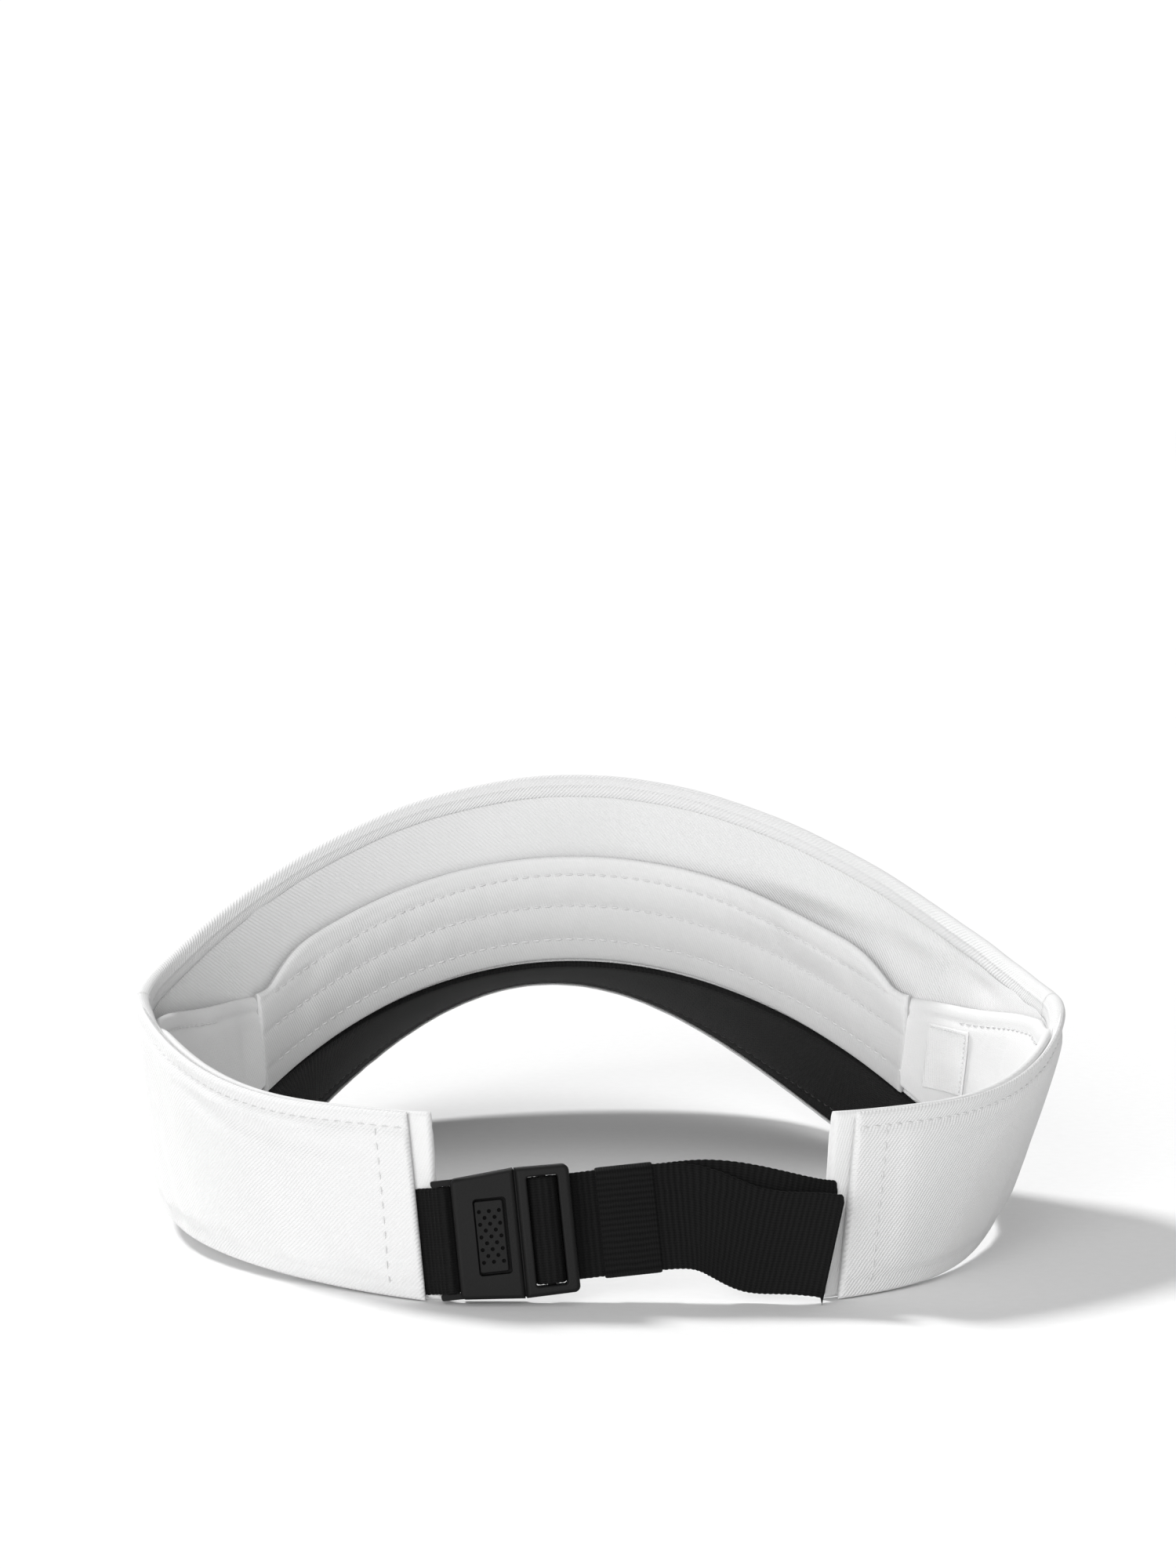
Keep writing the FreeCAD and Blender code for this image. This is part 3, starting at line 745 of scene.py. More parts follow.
def binding_outline():
    """Outside and inside of the folded tape, as (height over the wall's head, depth), with a raised cord just
    under the fold on its inner face."""
    outer, inner, skin = -0.05, 2.1, 0.45
    middle, half = (outer + inner) / 2.0, (inner - outer) / 2.0
    out, back = [], []
    for s in np.linspace(-BINDING_LEG, -1.6, 6):
        out.append((s, outer - skin * smooth((s + BINDING_LEG) / 0.8 + 0.15)))
        back.append((s, outer))
    for turn in np.linspace(0.0, math.pi, 11)[1:-1]:
        out.append((-1.4 + math.sin(turn) * (half + skin), middle - math.cos(turn) * (half + skin)))
        back.append((-1.4 + math.sin(turn) * half * 0.9, middle - math.cos(turn) * half))
    for s in (-1.6, -1.75, -1.95, -2.15, -2.4, -3.0, -3.6, -4.1, -4.5, -BINDING_LEG):
        cord = 0.25 * bump(s, -2.0, 0.4)
        press = skin * float(smooth((s + BINDING_LEG) / 1.3 + 0.1))
        out.append((s, inner + press * 0.8 + cord))
        back.append((s, inner))
    return np.array(out), np.array(back)


def binding_piece(name, start, end):
    """Folded tape along the head of the wall, tucked down behind the side lining at the temples."""
    out, back = binding_outline()
    loop = np.concatenate([out, back[::-1]])
    across = run_length(out)
    across = np.concatenate([across, across[::-1] + 40.0])
    rings, runs, rises = [], [], []
    length = abs(arc(end) - arc(start))
    for t in np.linspace(0.0, 1.0, int(length / 1.1) + 2):
        angle = mix(start, end, t)
        x = float(arc(angle))
        top = float(high_z(angle)) + 0.2 * noise.noise(Vector((x / 16.0, 0.0, 5.0)))
        tuck = float(ramp(abs(angle), BINDING_SINKS, CROWN_MEETS_ARM + 3.0))
        ripple = 0.12 * noise.noise(Vector((x / 7.0, 2.0, 1.0)))
        z = top + loop[:, 0] - 1.2 * tuck
        depth = 1.0 + (loop[:, 1] - 1.0) * (1.0 - 0.4 * tuck) + ripple
        rings.append(wall(angle, z, depth))
        runs.append(np.full(len(loop), x))
        rises.append(across)
    return ring_mesh(name, rings, runs, rises, TWILL)


def make_binding():
    """The middle of the folded tape, and the row of stitches along its outer leg."""
    middle = binding_piece("top_binding_tape", -TEMPLE_SEAM, TEMPLE_SEAM)
    fit(middle, "crown", "white_twill", "top_binding")

    def place(distance):
        angle = angle_at(distance)
        return wall(angle, high_z(angle) - BINDING_LEG + 1.0, -0.5), normal(angle)

    thread = stitches("top_binding_stitches", [(place, arc(-88.0), arc(88.0))], THREAD)
    fit(thread, "crown", "white_twill")


def sweatband_relief(x, s, height):
    """Thin padding that swells between the stitch rows, with a few small folds on the right."""
    swell = 0.25 * np.ones(np.broadcast(x, s).shape)
    for row in SWEATBAND_ROWS:
        swell = swell * (1.0 - 0.9 * bump(s, row, 0.7))
    swell = swell * smooth(s / 1.5) * smooth((height - s) / 1.5)
    folds = 0.35 * rumple(x, s, 3.2, 16.0, 5.5) * bump(x, 36.0, 16.0)
    return swell + 0.16 * rumple(x, s, 11.0, 6.0, 2.2) + folds * smooth(s / 6.0)


def sweatband_lean(x, s, height):
    """The free upper edge stands off the lining, most of all towards the right."""
    stand = 0.6 + 3.6 * bump(x, 56.0, 22.0) + 0.5 * bump(x, 4.0, 14.0)
    return stand * smooth((s - 0.45 * height) / (0.55 * height))


def make_sweatband():
    """Padded strip inside the front, sewn down in three rows. Gives the angle that it ends at."""
    points = node_points("sweatband")
    reach = float(np.degrees(np.arctan2(np.abs(points[:, 0]), points[:, 1])).max())
    straight_top = strip_top("sweatband")
    dip_run, dip_depth = SWEATBAND_DIP

    def top(angle):
        return straight_top(angle) - dip_depth * smooth((np.abs(angle) - reach + dip_run) / dip_run) ** 2

    def foot(angle):
        return low_z(angle) - 1.2

    band = wall_slab("sweatband_pad", (-reach, -reach), (reach, reach), foot, top, (2.1, 3.9), SWEATBAND,
                     rolls=(0.6, 0.7), end_roll=0.35, spacing=1.1, rows=48, inner=sweatband_relief,
                     lean=sweatband_lean)
    full_height = float(top(0.0) - foot(0.0))
    settle(band, 48, [row / full_height for row in SWEATBAND_ROWS], True)
    fit(band, "crown", "white_lining", "sweatband", "sweatband_foam")
    rows = []
    angles = np.linspace(-reach + 3.0, reach - 3.0, 240)
    x, full = arc(angles), top(angles) - foot(angles)
    for height in SWEATBAND_ROWS:
        depth = 4.0 + sweatband_relief(x, height, full) + sweatband_lean(x, height, full)
        rows.append(line_row(wall(angles, foot(angles) + height, depth), -normal(angles)))
    thread = stitches("sweatband_stitches", rows, THREAD, pitch=2.5, length=1.7)
    fit(thread, "crown", "white_lining")
    return reach


# ---- arms

def bend_with(piece, arm, slot, *nodes):
    """Bakes a piece's placement into its mesh, and lets it stand for CAD nodes."""
    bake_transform(piece)
    if nodes:
        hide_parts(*nodes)


def arm_outer_relief(side):
    """Pillowy face with slanted drag lines, a groove under the rolled top and a fold line over the foot."""
    def relief(x, s, height):
        along = np.abs(x)
        lively = 1.0 if side < 0 else 0.35
        slant = along + 0.8 * (s - height)
        drag = 0.9 * rumple(slant, s, 10.0, 60.0, 6.0 + side) * smooth((along - 142.0) / 18.0)
        crease = -0.8 * bump(height - s - 0.035 * (along - 160.0), 6.0, 1.6) * bump(along, 196.0, 24.0)
        swell = 0.6 * smooth(s / 5.0) * smooth((height - s) / 5.0)
        groove = -0.5 * bump(height - s, 3.0, 0.8) - 0.3 * bump(s, 3.2, 0.5)
        return swell + lively * (drag * smooth((height - s) / 7.0) * smooth(s / 4.0) + crease) + groove
    return relief


def arm_lining_relief(side):
    """Soft swell of the arm's lining, with a groove under its rim."""
    def relief(x, s, height):
        swell = 0.35 * smooth(s / 4.0) * smooth((height - s) / 4.0)
        groove = -0.5 * bump(height - s, 3.2, 0.7)
        return swell + 0.3 * rumple(x, s, 12.0, 9.0, 4.0 + side) + groove
    return relief


def arm_lining_lean(end):
    """The rim leans inwards round the temple, and the rear end leaves room for the strap sewn under it."""
    def lean(x, s, height):
        along = np.abs(x)
        temple = smooth((along - 84.0) / 22.0) * (1.0 - smooth((along - 127.0) / 24.0))
        return 2.6 * temple * smooth(s / height) ** 2 + 0.5 * smooth((along - end + 10.0) / 8.0)
    return lean


def stitch_arm(name, side, foot, head, top, lining_lean):
    """Top stitching on both faces of an arm and a row across its hem."""
    relief = arm_outer_relief(side)
    end = mix(foot, head, 0.9)
    angles = np.linspace(TEMPLE_SEAM + 1.0, end - 0.5, 260) * side
    height = high_z(angles) - low_z(angles)
    s = height - ARM_ROW_OUTER
    outer = wall(angles, low_z(angles) + s, -0.15 - relief(arc(angles), s, height))
    rows = [line_row(outer, normal(angles))]
    rise = np.linspace(0.06, 0.92, 60)
    across = side * (mix(foot, head, rise) - HEM_WIDTH_DEGREES)
    low, high = low_z(across), high_z(across)
    z = mix(low, high, rise)
    hem = wall(across, z, -0.12 - relief(arc(across), z - low, high - low))
    rows.append(line_row(hem, normal(across)))
    angles = np.linspace(70.0, end, 260) * side
    height = top(angles) - low_z(angles)
    s = height - ARM_ROW_INNER
    depth = 3.75 + lining_lean(arc(angles), s, height)
    depth = depth + arm_lining_relief(side)(arc(angles), s, height)
    rows.append(line_row(wall(angles, low_z(angles) + s, depth), -normal(angles)))
    thread = stitches(name + "_arm_stitches", rows, THREAD, pitch=2.6, length=1.8)
    bend_with(thread, name + "_arm", "white_twill")


def wing_foot(angle):
    """Foot of the crown lining's end, which hides behind the arm."""
    return high_z(angle) - 16.0


def make_arm(name, side, sweatband_reach):
    """Outer panel, padded lining with a rolled rim, and the crown lining's end at one side.
    Gives the height of the lining's rim as a function of the angle."""
    body = name + "_arm"
    panel_node, lining_node = name + "_side_panel", name + "_side_lining"
    temple_node = name + "_temple_lining"
    foot, head = rear_edge(panel_node)
    head -= REAR_LEAN
    lining_foot, lining_head = rear_edge(lining_node)
    lining_head -= REAR_LEAN / 2.0
    seam = side * TEMPLE_SEAM
    panel = wall_slab(body + "_panel", (seam, seam), (side * foot, side * head), low_z, high_z, (-0.1, 1.4),
                      TWILL, rolls=(0.8, 1.2), end_roll=0.9, spacing=1.1, rows=40,
                      outer=arm_outer_relief(side))
    settle(panel, 40, [0.07, 0.93], False)
    bend_with(panel, body, "white_twill", panel_node, name + "_end_hem", name + "_side_padding",
              name + "_strap_anchor")
    temple_top, arm_top = strip_top(temple_node), strip_top(lining_node)

    def top(angle):
        return mix(temple_top(angle), arm_top(angle), smooth((np.abs(angle) - 72.0) / 26.0))

    start = side * (sweatband_reach - 1.0)
    lean = arm_lining_lean(float(arc(lining_foot)))
    lining = wall_slab(name + "_side_lining_pad", (start, start), (side * lining_foot, side * lining_head),
                       low_z, top, (1.5, 3.5), LINING, rolls=(0.9, 1.2), end_roll=0.9, spacing=1.1, rows=40,
                       inner=arm_lining_relief(side), lean=lean)
    settle(lining, 40, [0.92], True, (0.0, 0.28) if side > 0 else None)
    bend_with(lining, body, "white_lining", lining_node, temple_node)
    stitch_arm(name, side, foot, head, top, lean)
    wing_end = side * (CROWN_MEETS_ARM + 3.0)
    wing = wall_slab(name + "_crown_lining_end", (seam, seam), (wing_end, wing_end), wing_foot, crown_head,
                     (1.45, 2.1), TWILL, rolls=(0.3, 0.3), end_roll=0.3, rows=14)
    bend_with(wing, body, "white_twill")
    binding = binding_piece(name + "_binding_end", min(seam, wing_end), max(seam, wing_end))
    bend_with(binding, body, "white_twill")
    return top


def make_label(top):
    """Blank tab on the right temple's lining, oversewn along its top and rear edges."""
    points = node_points("care_label")
    around = np.degrees(np.arctan2(points[:, 0], points[:, 1]))
    start, end = around.min(), around.max()
    low, high = points[:, 2].min(), points[:, 2].max()
    lining_lean = arm_lining_lean(200.0)
    lining_relief = arm_lining_relief(1)

    def off_wall(angle, z):
        s, height = z - low_z(angle), top(angle) - low_z(angle)
        return lining_lean(arc(angle), s, height) + lining_relief(arc(angle), s, height)

    def tab_relief(x, s, height):
        return 0.2 * rumple(x, s, 5.0, 4.0, 7.0)

    def tab_lean(x, s, height):
        return off_wall(angle_at(x), s + low)

    tab = wall_slab("care_tab", (start, start), (end, end), lambda angle: low, lambda angle: high, (3.6, 4.1),
                    TAPE, rolls=(0.25, 0.25), end_roll=0.25, spacing=0.8, rows=18, inner=tab_relief,
                    lean=tab_lean)
    angles = np.linspace(start + 0.4, end - 0.4, 20)
    head_row = line_row(wall(angles, high - 0.6, 4.2 + off_wall(angles, high - 0.6)), -normal(angles))
    heights = np.linspace(low + 0.5, high - 0.8, 20)
    rear_points = wall(np.full(20, end - 0.5), heights, 4.2 + off_wall(end - 0.5, heights))
    rear_row = line_row(rear_points, np.tile(-normal(end), (20, 1)))
    thread = stitches("care_tab_stitches", [head_row, rear_row], THREAD, pitch=1.0, length=0.8, radius=0.16)
    fit(tab, "crown", "white_lining", "care_label")
    fit(thread, "crown", "white_lining")


# ---- brim

def read_brim():
    """The brim board's free edge, as the outline of its upper face, and how far round its root runs."""
    points = node_points("brim_board")
    around = np.degrees(np.arctan2(points[:, 0], points[:, 1]))
    foot = wall(around, low_z(around), 0.0)
    apart = np.linalg.norm((points - foot)[:, :2], axis=1)
    hull = geometry.convex_hull_2d([Vector(p[:2]) for p in points])
    rim = [points[i] for i in hull if apart[i] > 9.0]
    outer = points[apart > 9.0]
    for side in (-1, 1):
        half = outer[outer[:, 0] * side > 0.0]
        rim.append(half[np.lexsort((-half[:, 2], np.round(half[:, 1], 1)))[0]])
    rim = np.array(rim)
    return rim[np.argsort(rim[:, 0])], around[apart < 5.0].max()


BRIM_RIM, BRIM_CORNER = read_brim()


def brim_ends(t):
    """Root of the brim under the wall, and its free edge on the board's upper face."""
    angle = BRIM_CORNER * t
    root = wall(angle, low_z(angle), BRIM_SEAM_DEPTH) - np.array([0.0, 0.0, BRIM_DROP])
    x = BRIM_RIM[-1, 0] * math.sin(BRIM_TURN * t) / math.sin(BRIM_TURN)
    rim = np.array([np.interp(x, BRIM_RIM[:, 0], BRIM_RIM[:, k]) for k in range(3)])
    return root, rim


def brim_lines(t):
    """Root, free edge, outward direction and upward normal of the brim's middle at t, from -1 to 1."""
    root, rim = brim_ends(t)
    ahead, behind = brim_ends(min(t + 0.04, 1.0)), brim_ends(max(t - 0.04, -1.0))
    up = unit(np.cross(ahead[0] + ahead[1] - behind[0] - behind[1], rim - root))
    rim = rim - up * BOARD_TOP
    return root, rim, unit(rim - root), up


def brim_relief(s, reach, row_depth):
    """Cloth drawn down at the stitch row and along the root."""
    return -row_depth * bump(reach - s, BRIM_ROW, 1.0) - 0.3 * bump(s, 0.0, 1.5)


def brim_slab(name, heights, inset, material, visible, rolls, row_depth):
    """A layer of the brim. visible is 1 if its upper face shows and -1 if its lower face does."""
    rings, runs, rises = [], [], []
    for t in np.linspace(-1.0, 1.0, 150):
        root, rim, out, up = brim_lines(t)
        reach = np.linalg.norm(rim - root) - inset
        s, share = rounded_rows(reach, rolls, 46)
        middle, half = (heights[0] + heights[1]) / 2.0, (heights[1] - heights[0]) / 2.0
        wave = brim_relief(s, reach + inset, row_depth) * share
        top = middle + half * share + (wave if visible > 0 else 0.0)
        bottom = middle - half * share - (wave if visible < 0 else 0.0)
        upper = root + s[:, None] * out + top[:, None] * up
        lower = root + s[:, None] * out + bottom[:, None] * up
        ring = np.concatenate([lower, upper[::-1]])
        rings.append(ring)
        runs.append(ring[:, 0])
        rises.append(ring[:, 1])
    return ring_mesh(name, rings, runs, rises, material)


def edge_stations():
    """Point, outward direction and upward normal round the whole free edge: from the wall along one side,
    round the corner, along the front, and back to the wall along the other side."""
    front = [brim_lines(t) for t in np.linspace(-1.0, 1.0, 220)]
    stations = [line[1:] for line in front]
    for side in (-1, 1):
        root, rim, out, up = front[0 if side < 0 else -1]
        away = side * unit(np.cross(out, up))
        corner = [(rim, math.cos(a) * out + math.sin(a) * away, up)
                  for a in np.radians(np.linspace(9.0, 90.0, 10))]
        edge = [(mix(rim, root, u), away, up) for u in np.linspace(0.04, 1.0, 16)]
        if side < 0:
            stations = (corner + edge)[::-1] + stations
        else:
            stations = stations + corner + edge
    return stations


def tape_outline():
    """Closed outline of the edge tape: (distance outwards, height over the board's middle)."""
    high, low, skin = 1.4, -1.6, 0.5
    middle, half = (high + low) / 2.0, (high - low) / 2.0
    outer = [(-EDGE_LEG_TOP, high + skin * 0.2), (-EDGE_LEG_TOP + 0.5, high + skin), (-1.0, high + skin)]
    outer += [(-0.4 + math.cos(a) * (0.4 + skin), middle + math.sin(a) * (half + skin))
              for a in np.linspace(math.pi / 2.0, -math.pi / 2.0, 9)]
    outer += [(-EDGE_LEG_BELOW, low - skin * 0.8)]
    inner = [(-EDGE_LEG_TOP, high), (-EDGE_LEG_TOP + 0.5, high), (-1.0, high)]
    inner += [(-0.4 + math.cos(a) * 0.4, middle + math.sin(a) * half)
              for a in np.linspace(math.pi / 2.0, -math.pi / 2.0, 9)]
    inner += [(-EDGE_LEG_BELOW, low)]
    return np.array(outer + inner[::-1])


def brim_tape(name, material):
    """Folded tape over the brim's free edge, with a long leg on top and a short one underneath."""
    loop = tape_outline()
    rings, runs, rises = [], [], []
    length = 0.0
    last = None
    for rim, out, up in edge_stations():
        ripple = 0.08 * noise.noise(Vector((length / 5.0, 1.0, 9.0)))
        ring = rim + loop[:, :1] * out + (loop[:, 1:] + ripple) * up
        if last is not None:
            length += float(np.linalg.norm(rim - last))
        last = rim
        rings.append(ring)
        runs.append(np.full(len(loop), length))
        rises.append(np.arange(len(loop)) * 0.6)
    return ring_mesh(name, rings, runs, rises, material)


def brim_row(inset, height, side):
    """A stitch row this far inside the free edge."""
    points, outs = [], []
    for t in np.linspace(-0.985, 0.985, 240):
        root, rim, out, up = brim_lines(t)
        points.append(rim - out * inset + up * height)
        outs.append(up * side)
    return line_row(np.array(points), np.array(outs))


def make_brim():
    """Covers, edge tape and stitch rows of the brim."""
    top = brim_slab("brim_top_fabric", (0.1, 1.3), 0.3, TWILL, 1, (0.3, 0.5), 0.35)
    fit(top, "crown", "white_twill", "brim_top_cover", "brim_board")
    under = brim_slab("brim_under_fabric", (-1.5, 0.0), 0.3, BLACK_TWILL, -1, (0.3, 0.5), 0.45)
    fit(under, "crown", "black_twill", "brim_under_cover")
    tape = brim_tape("brim_edge_tape", TAPE)
    fit(tape, "crown", "white_twill", "brim_edge_binding")
    edge = edge_stations()[1:-1]
    edge_points = np.array([rim - out * EDGE_ROW + up * 1.95 for rim, out, up in edge])
    edge_row = line_row(edge_points, np.array([up for rim, out, up in edge]))
    thread = stitches("brim_top_stitches", [brim_row(BRIM_ROW, 1.05, 1), edge_row], THREAD)
    fit(thread, "crown", "white_twill")
    dark = stitches("brim_under_stitches", [brim_row(BRIM_ROW, -1.15, -1)], BLACK_THREAD)
    fit(dark, "crown", "black_twill")


# ---- strap

def joint(name):
    """The CAD joint of this name."""
    return [j for j in frame["joints"] if j["name"] == name][0]


ALONG = unit(np.array(joint("adjuster_slide")["axis"], float))
OUT = -unit(np.array(joint("pad_press")["axis"], float))
ACROSS = np.cross(OUT, ALONG)


def buckle_origin():
    """Origin of the clip's own frame, from its CAD solid."""
    points = node_points("clip_frame")
    s = (points @ ALONG).max() - CLIP_LENGTH
    w = ((points @ ACROSS).max() + (points @ ACROSS).min()) / 2.0
    n = (points @ OUT).max() - FACE_N
    return ALONG * s + ACROSS * w + OUT * n


ORIGIN = buckle_origin()


def at_buckle(s, w, n):
    """Points given in the buckle's own frame."""
    s, w, n = np.broadcast_arrays(np.asarray(s, float), w, n)
    return ORIGIN + s[..., None] * ALONG + w[..., None] * ACROSS + n[..., None] * OUT


def to_buckle(points):
    """Places along the strap, across it and outwards, in the buckle's own frame."""
    apart = np.asarray(points) - ORIGIN
    return np.stack([apart @ ALONG, apart @ ACROSS, apart @ OUT], -1)


def resample(path, step):
    """Evenly spaced points along a path, on a smooth curve through its points."""
    path = np.asarray(path, float)
    length = run_length(path)
    even = np.linspace(0.0, length[-1], int(length[-1] / step) + 2)
    fine = np.stack([np.interp(even, length, path[:, k]) for k in range(path.shape[1])], -1)
    for _ in range(6):
        fine[1:-1] = (fine[:-2] + 2.0 * fine[1:-1] + fine[2:]) / 4.0
    return fine


def ribbon(name, centres, widths, material, ribs=True, half=WEBBING_HALF, thickness=WEBBING_THICKNESS):
    """Webbing with raised ribs across it, along closely spaced centre points."""
    ahead = np.gradient(centres, axis=0)
    length = run_length(centres)
    widths = unit(widths)
    thick = unit(np.cross(ahead, widths))
    w = np.concatenate([[-1.0, -0.985], np.linspace(-0.95, 0.95, 15), [0.985, 1.0]]) * half
    edge = np.sqrt(np.clip(1.0 - ((np.abs(w) - half + 0.5) / 0.55).clip(0.0, 1.0) ** 2, 0.08, 1.0))
    rings, runs, rises = [], [], []
    for i, centre in enumerate(centres):
        rib = abs(math.sin(math.pi * length[i] / RIB_PITCH)) if ribs else 1.0
        scallop = 1.0 + 0.012 * rib
        rise = thickness / 2.0 * (0.55 + 0.45 * rib) * edge
        mid = centre + (w * scallop)[:, None] * widths[i]
        front = mid + rise[:, None] * thick[i]
        back = mid - rise[:, None] * thick[i]
        rings.append(np.concatenate([front, back[::-1]]))
        runs.append(np.full(2 * len(w), length[i]))
        rises.append(np.concatenate([w, w[::-1] + 60.0]))
    return ring_mesh(name, rings, runs, rises, material)


def march_ribbon(source, start):
    """Centre points and width directions of a CAD ribbon, followed from the end nearest the buckle."""
    edges = node_edges(source)
    place, way = at_buckle(start, 0.0, 0.0), ALONG
    centres, widths = [], []
    while True:
        cut = plane_cut(edges, way, float(place @ way))
        if len(cut) < 4:
            break
        middle = cut.mean(axis=0)
        direction = np.linalg.svd(cut - middle)[2][0]
        direction = direction * np.sign(direction[2])
        across = (cut - middle) @ direction
        if across.max() - across.min() < 2.0 * WEBBING_HALF - 5.0:
            break
        thin = unit(np.cross(direction, way))
        deep = (cut - middle) @ thin
        centre = middle + direction * (across.max() + across.min()) / 2.0
        centre = centre + thin * (deep.max() + deep.min()) / 2.0
        if centres:
            way = unit(centre - centres[max(len(centres) - MARCH_BASE, 0)])
        centres.append(centre)
        widths.append(direction)
        place = centre + way * MARCH_STEP
    return np.array(centres), np.array(widths)


def lay_ribbon(name, node, centres, widths, body_pair):
    """Ribbed webbing along a path, for a CAD node, riding on one body, or baked in place when given a pair.
    """
    both = resample(np.concatenate([centres, widths * 5.0], axis=1), RIB_PITCH / RIB_STEPS)
    strap = ribbon(name, both[:, :3], both[:, 3:], WEBBING)
    if isinstance(body_pair, str):
        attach(strap, body_pair)
    else:
        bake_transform(strap)
    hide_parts(node)


def sagging(centres, widths):
    """Lets a ribbon hang a little below the layer behind it, most near SAG_AT."""
    drop = SAG_DEPTH * bump(to_buckle(centres)[:, 0], SAG_AT, SAG_WIDTH)
    return centres - drop[:, None] * widths, widths


def make_strap():
    """One length of webbing from the right arm, through the clip and back, in three pieces."""
    lay_ribbon("standing_strap", "standing_webbing", *march_ribbon("standing_webbing", 6.2),
               ("clip_half", "strap", at_buckle(8.0, 0, 0), at_buckle(32.0, 0, 0)))
    lay_ribbon("strap_free_end", "strap_tail", *sagging(*march_ribbon("strap_tail", 9.0)),
               ("clip_half", "tail", at_buckle(9.0, 0, 0), at_buckle(30.0, 0, 0)))
    path = np.array(WRAP_PATH)
    lay_ribbon("strap_turn", "wrapped_webbing", at_buckle(path[:, 0], 0.0, path[:, 1]),
               np.tile(ACROSS, (len(path), 1)), "clip_half")


def make_loop():
    """Doubled webbing from inside the left arm's hem round the housing's bar."""
    foot, head = rear_edge("left_side_panel")
    height = float(ORIGIN[2] + BAR_S * ALONG[2])
    hem = -mix(foot, head, height / float(high_z(TABLE_END)))
    turn = [(LOOP_CENTRE_S + LOOP_TURN * math.cos(a), LOOP_TURN * math.sin(a))
            for a in np.radians(np.linspace(95.0, -95.0, 11))]
    inside = [to_buckle(wall(hem + back, height, depth))
              for back, depth in ((2.6, 2.0), (1.0, 1.9), (-0.2, 1.6))]
    front = [(float(p[0]), float(p[2])) for p in inside]
    rear = [(s - 0.2, n - 0.9) for s, n in front]
    path = np.array(front + turn + rear[::-1])
    widths = np.tile(ACROSS, (len(path), 1))
    arm_end = at_buckle(front[2][0], 0.0, 0.0)
    lay_ribbon("left_loop_strap", "left_loop_webbing", at_buckle(path[:, 0], 0.0, path[:, 1]), widths,
               ("left_arm", "housing", arm_end, at_buckle(LOOP_CENTRE_S - 1.0, 0.0, 0.0)))


def make_keeper():
    """Webbing sewn into a flat ring round both layers of the strap, with its ribs along the strap."""
    local = to_buckle(node_points("keeper_loop"))
    low, high = local.min(axis=0), local.max(axis=0)
    skin, turn = KEEPER_SKIN, KEEPER_TURN
    half_w = (high[1] - low[1]) / 2.0 - skin / 2.0
    n_low, n_high = low[2] + skin / 2.0, high[2] - skin / 2.0
    corners = ((-half_w + turn, n_low + turn, 180.0), (half_w - turn, n_low + turn, 270.0),
               (half_w - turn, n_high - turn, 0.0), (-half_w + turn, n_high - turn, 90.0))
    path = [(0.0, n_low)]
    for w, n, begin in corners[1:] + corners[:1]:
        for a in np.radians(begin + np.array([0.0, 30.0, 60.0, 90.0])):
            path.append((w + turn * math.cos(a), n + turn * math.sin(a)))
    path.append((0.6, n_low - 0.02))
    path = np.array(path)
    middle = (low[0] + high[0]) / 2.0
    centres = resample(at_buckle(middle, path[:, 0], path[:, 1]), RIB_PITCH / RIB_STEPS)
    keeper = ribbon("keeper_ring", centres, np.tile(ALONG, (len(centres), 1)), WEBBING,
                    half=(high[0] - low[0]) / 2.0, thickness=skin)
    fit(keeper, "keeper", "black_webbing", "keeper_loop")


def make_buckle():
    """The CAD's moulded parts, with their own finish and painted shade in the pad's dimples."""
    for part in ("buckle_housing", "clip_frame", "release_latch"):
        mesh = frame["nodes"][part].data
        mesh.materials.clear()
        mesh.materials.append(PLASTIC)
        mesh.materials.append(DIMPLE_SHADE)
    mark_dimples()
    make_lip()


def mark_dimples():
    """Gives the floors and sides of the pad's dimples a rougher finish and a darker colour, which is painted
    shade in the dimples.
    """
    mesh = frame["nodes"]["release_latch"].data
    local = to_buckle(node_points("release_latch"))
    pad_top = local[:, 2].max()
    s_middle = (PAD_S[0] + PAD_S[1]) / 2.0
    for polygon in mesh.polygons:
        corners = local[list(polygon.vertices)]
        inside = np.abs(corners[:, 0] - s_middle).max() < PAD_DIMPLES[0]
        inside = inside and np.abs(corners[:, 1]).max() < PAD_DIMPLES[1]
        polygon.material_index = 1 if inside and corners[:, 2].min() < pad_top - 0.2 else 0


def make_lip():
    """Thin rib on the clip that closes the joint line between the buckle's two halves."""
    lows, highs = LIP_LOW, LIP_HIGH
    rings = []
    for w in np.concatenate([[lows[1]], np.linspace(lows[1] + 0.3, highs[1] - 0.3, 12), [highs[1]]]):
        n_trim = 0.3 if abs(w) > 11.9 else 0.0
        corners = [(lows[0], lows[2] + n_trim), (lows[0], highs[2] - n_trim), (highs[0], highs[2] - n_trim),
                   (highs[0], lows[2] + n_trim)]
        rings.append([at_buckle(s, w, n) for s, n in corners])
    rings = np.array(rings)
    flat = np.zeros(rings.shape[:2])
    lip = ring_mesh("clip_joint_rib", rings, flat, flat, PLASTIC)
    fit(lip, "clip_half", "black_plastic")


# ---- stage

def make_camera():
    """The photograph's viewpoint, behind the object and a little above it."""
    data = bpy.data.cameras.new("camera")
    data.lens = CAMERA_LENS
    data.sensor_width = 36.0
    camera = bpy.data.objects.new("camera", data)
    look = Vector(CAMERA_VIEW).to_track_quat("-Z", "Y").to_matrix().to_4x4()
    roll = Matrix.Rotation(math.radians(CAMERA_ROLL), 4, "Z")
    camera.matrix_world = Matrix.Translation(CAMERA_PLACE) @ look @ roll
    bpy.context.scene.collection.objects.link(camera)
    bpy.context.scene.camera = camera


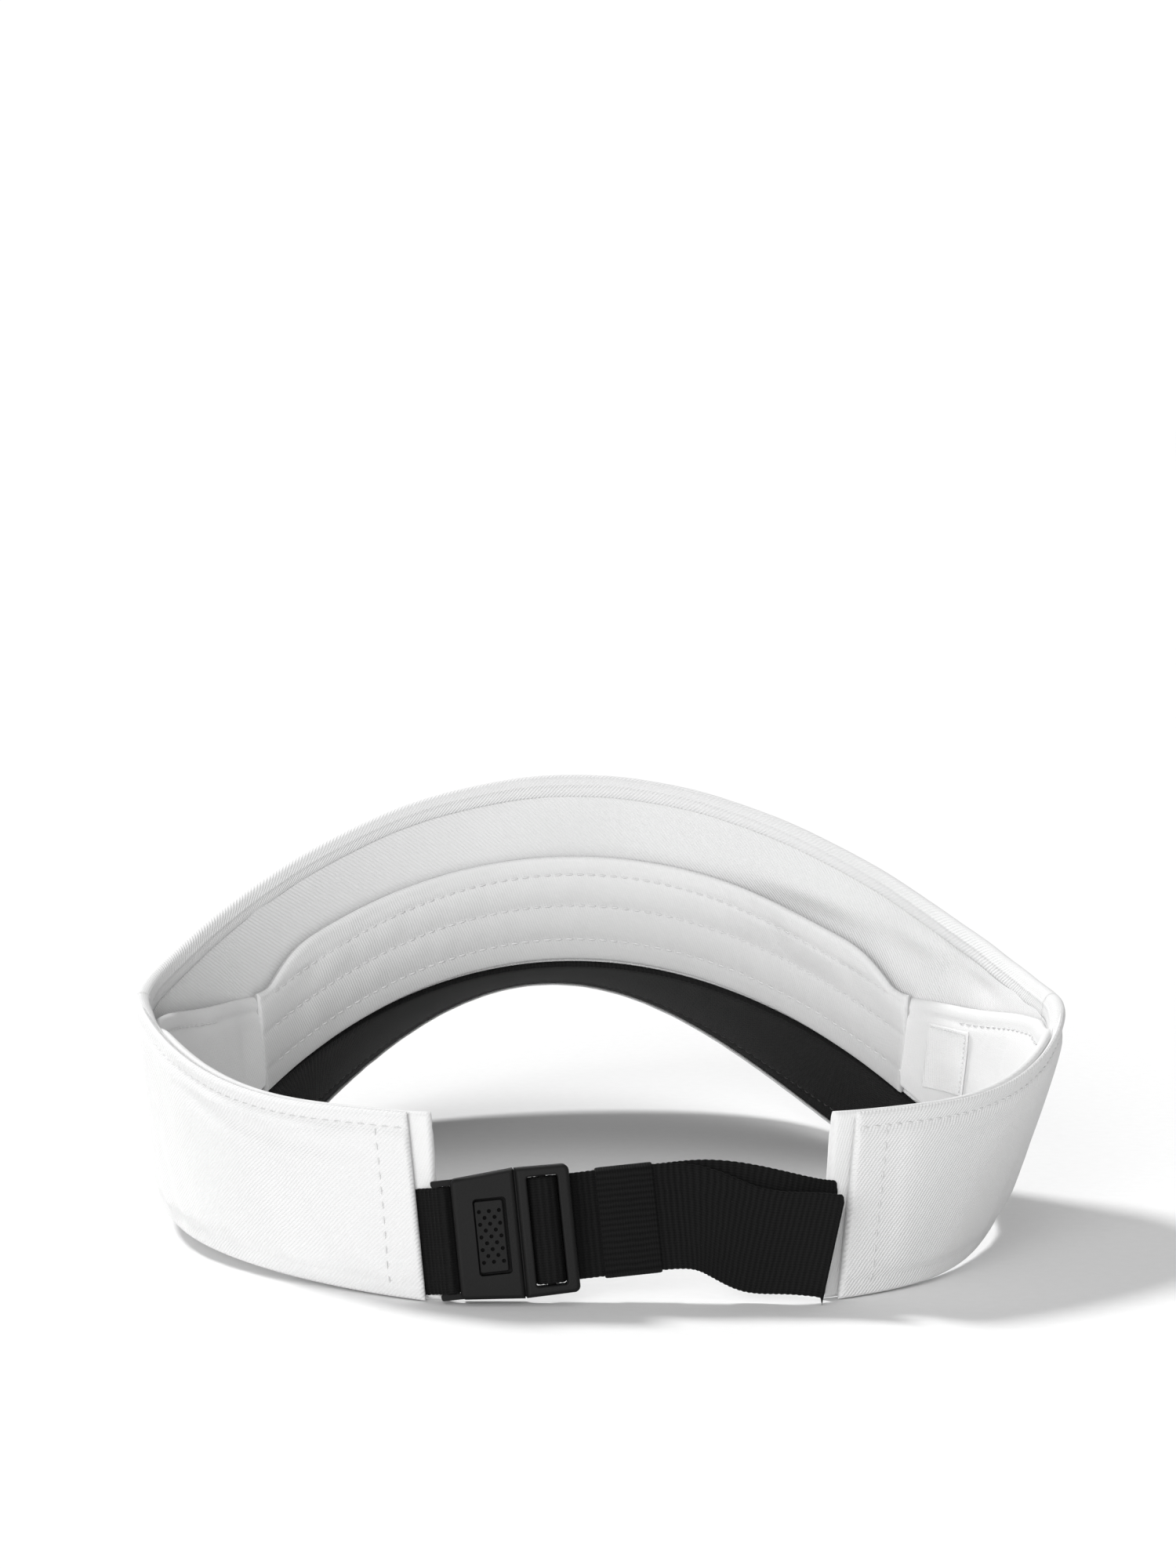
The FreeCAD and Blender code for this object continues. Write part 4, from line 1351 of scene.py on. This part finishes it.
def sun(name, direction, spread, strength):
    """Even light from one direction; spread in degrees softens its shadows."""
    data = bpy.data.lights.new(name, "SUN")
    data.angle = math.radians(spread)
    data.energy = strength
    light = bpy.data.objects.new(name, data)
    light.rotation_mode = "QUATERNION"
    light.rotation_quaternion = (-Vector(direction)).to_track_quat("-Z", "Y")
    bpy.context.scene.collection.objects.link(light)


def make_floor():
    """Pale floor just under the object."""
    material, tree, shader = new_material("pale_floor")
    place = node(tree, "ShaderNodeTexCoord")
    speckle = noise_value(tree, place.outputs["Object"], 420.0, 3.0)
    tree.links.new(blend_colour(tree, speckle, grey(0.82), grey(0.87)), shader.inputs["Base Color"])
    shader.inputs["Roughness"].default_value = 0.9
    mesh = bpy.data.meshes.new("floor")
    corners = [(x * FLOOR_REACH, y * FLOOR_REACH, 0.0) for x, y in ((-1, -1), (1, -1), (1, 1), (-1, 1))]
    mesh.from_pydata(corners, [], [(0, 1, 2, 3)])
    mesh.materials.append(material)
    floor = bpy.data.objects.new("floor", mesh)
    floor.location.z = min(cad_box[0].z, 0.0) - FLOOR_GAP
    bpy.context.scene.collection.objects.link(floor)


def make_surroundings():
    """White surroundings: dimmer as a light than as a backdrop."""
    world = bpy.data.worlds.new("white_room")
    world.use_nodes = True
    tree = world.node_tree
    backdrop = tree.nodes["Background"]
    backdrop.inputs["Color"].default_value = grey(1.0) + (1.0,)
    seen = tree.nodes.new("ShaderNodeLightPath").outputs["Is Camera Ray"]
    strength = maths(tree, "MULTIPLY_ADD", seen, SKY_SEEN - SKY_LIGHT)
    strength.node.inputs[2].default_value = SKY_LIGHT
    tree.links.new(strength, backdrop.inputs["Strength"])
    bpy.context.scene.world = world
    bpy.context.scene.view_settings.view_transform = "Standard"


make_crown()
make_binding()
sweatband_reach = make_sweatband()
make_arm("left", -1, sweatband_reach)
make_label(make_arm("right", 1, sweatband_reach))
make_brim()
make_loop()
make_strap()
make_keeper()
make_buckle()
make_camera()
make_floor()
make_surroundings()
sun("key_light", KEY_FROM, KEY_SPREAD, KEY_LIGHT)
sun("fill_light", FILL_FROM, FILL_SPREAD, FILL_LIGHT)
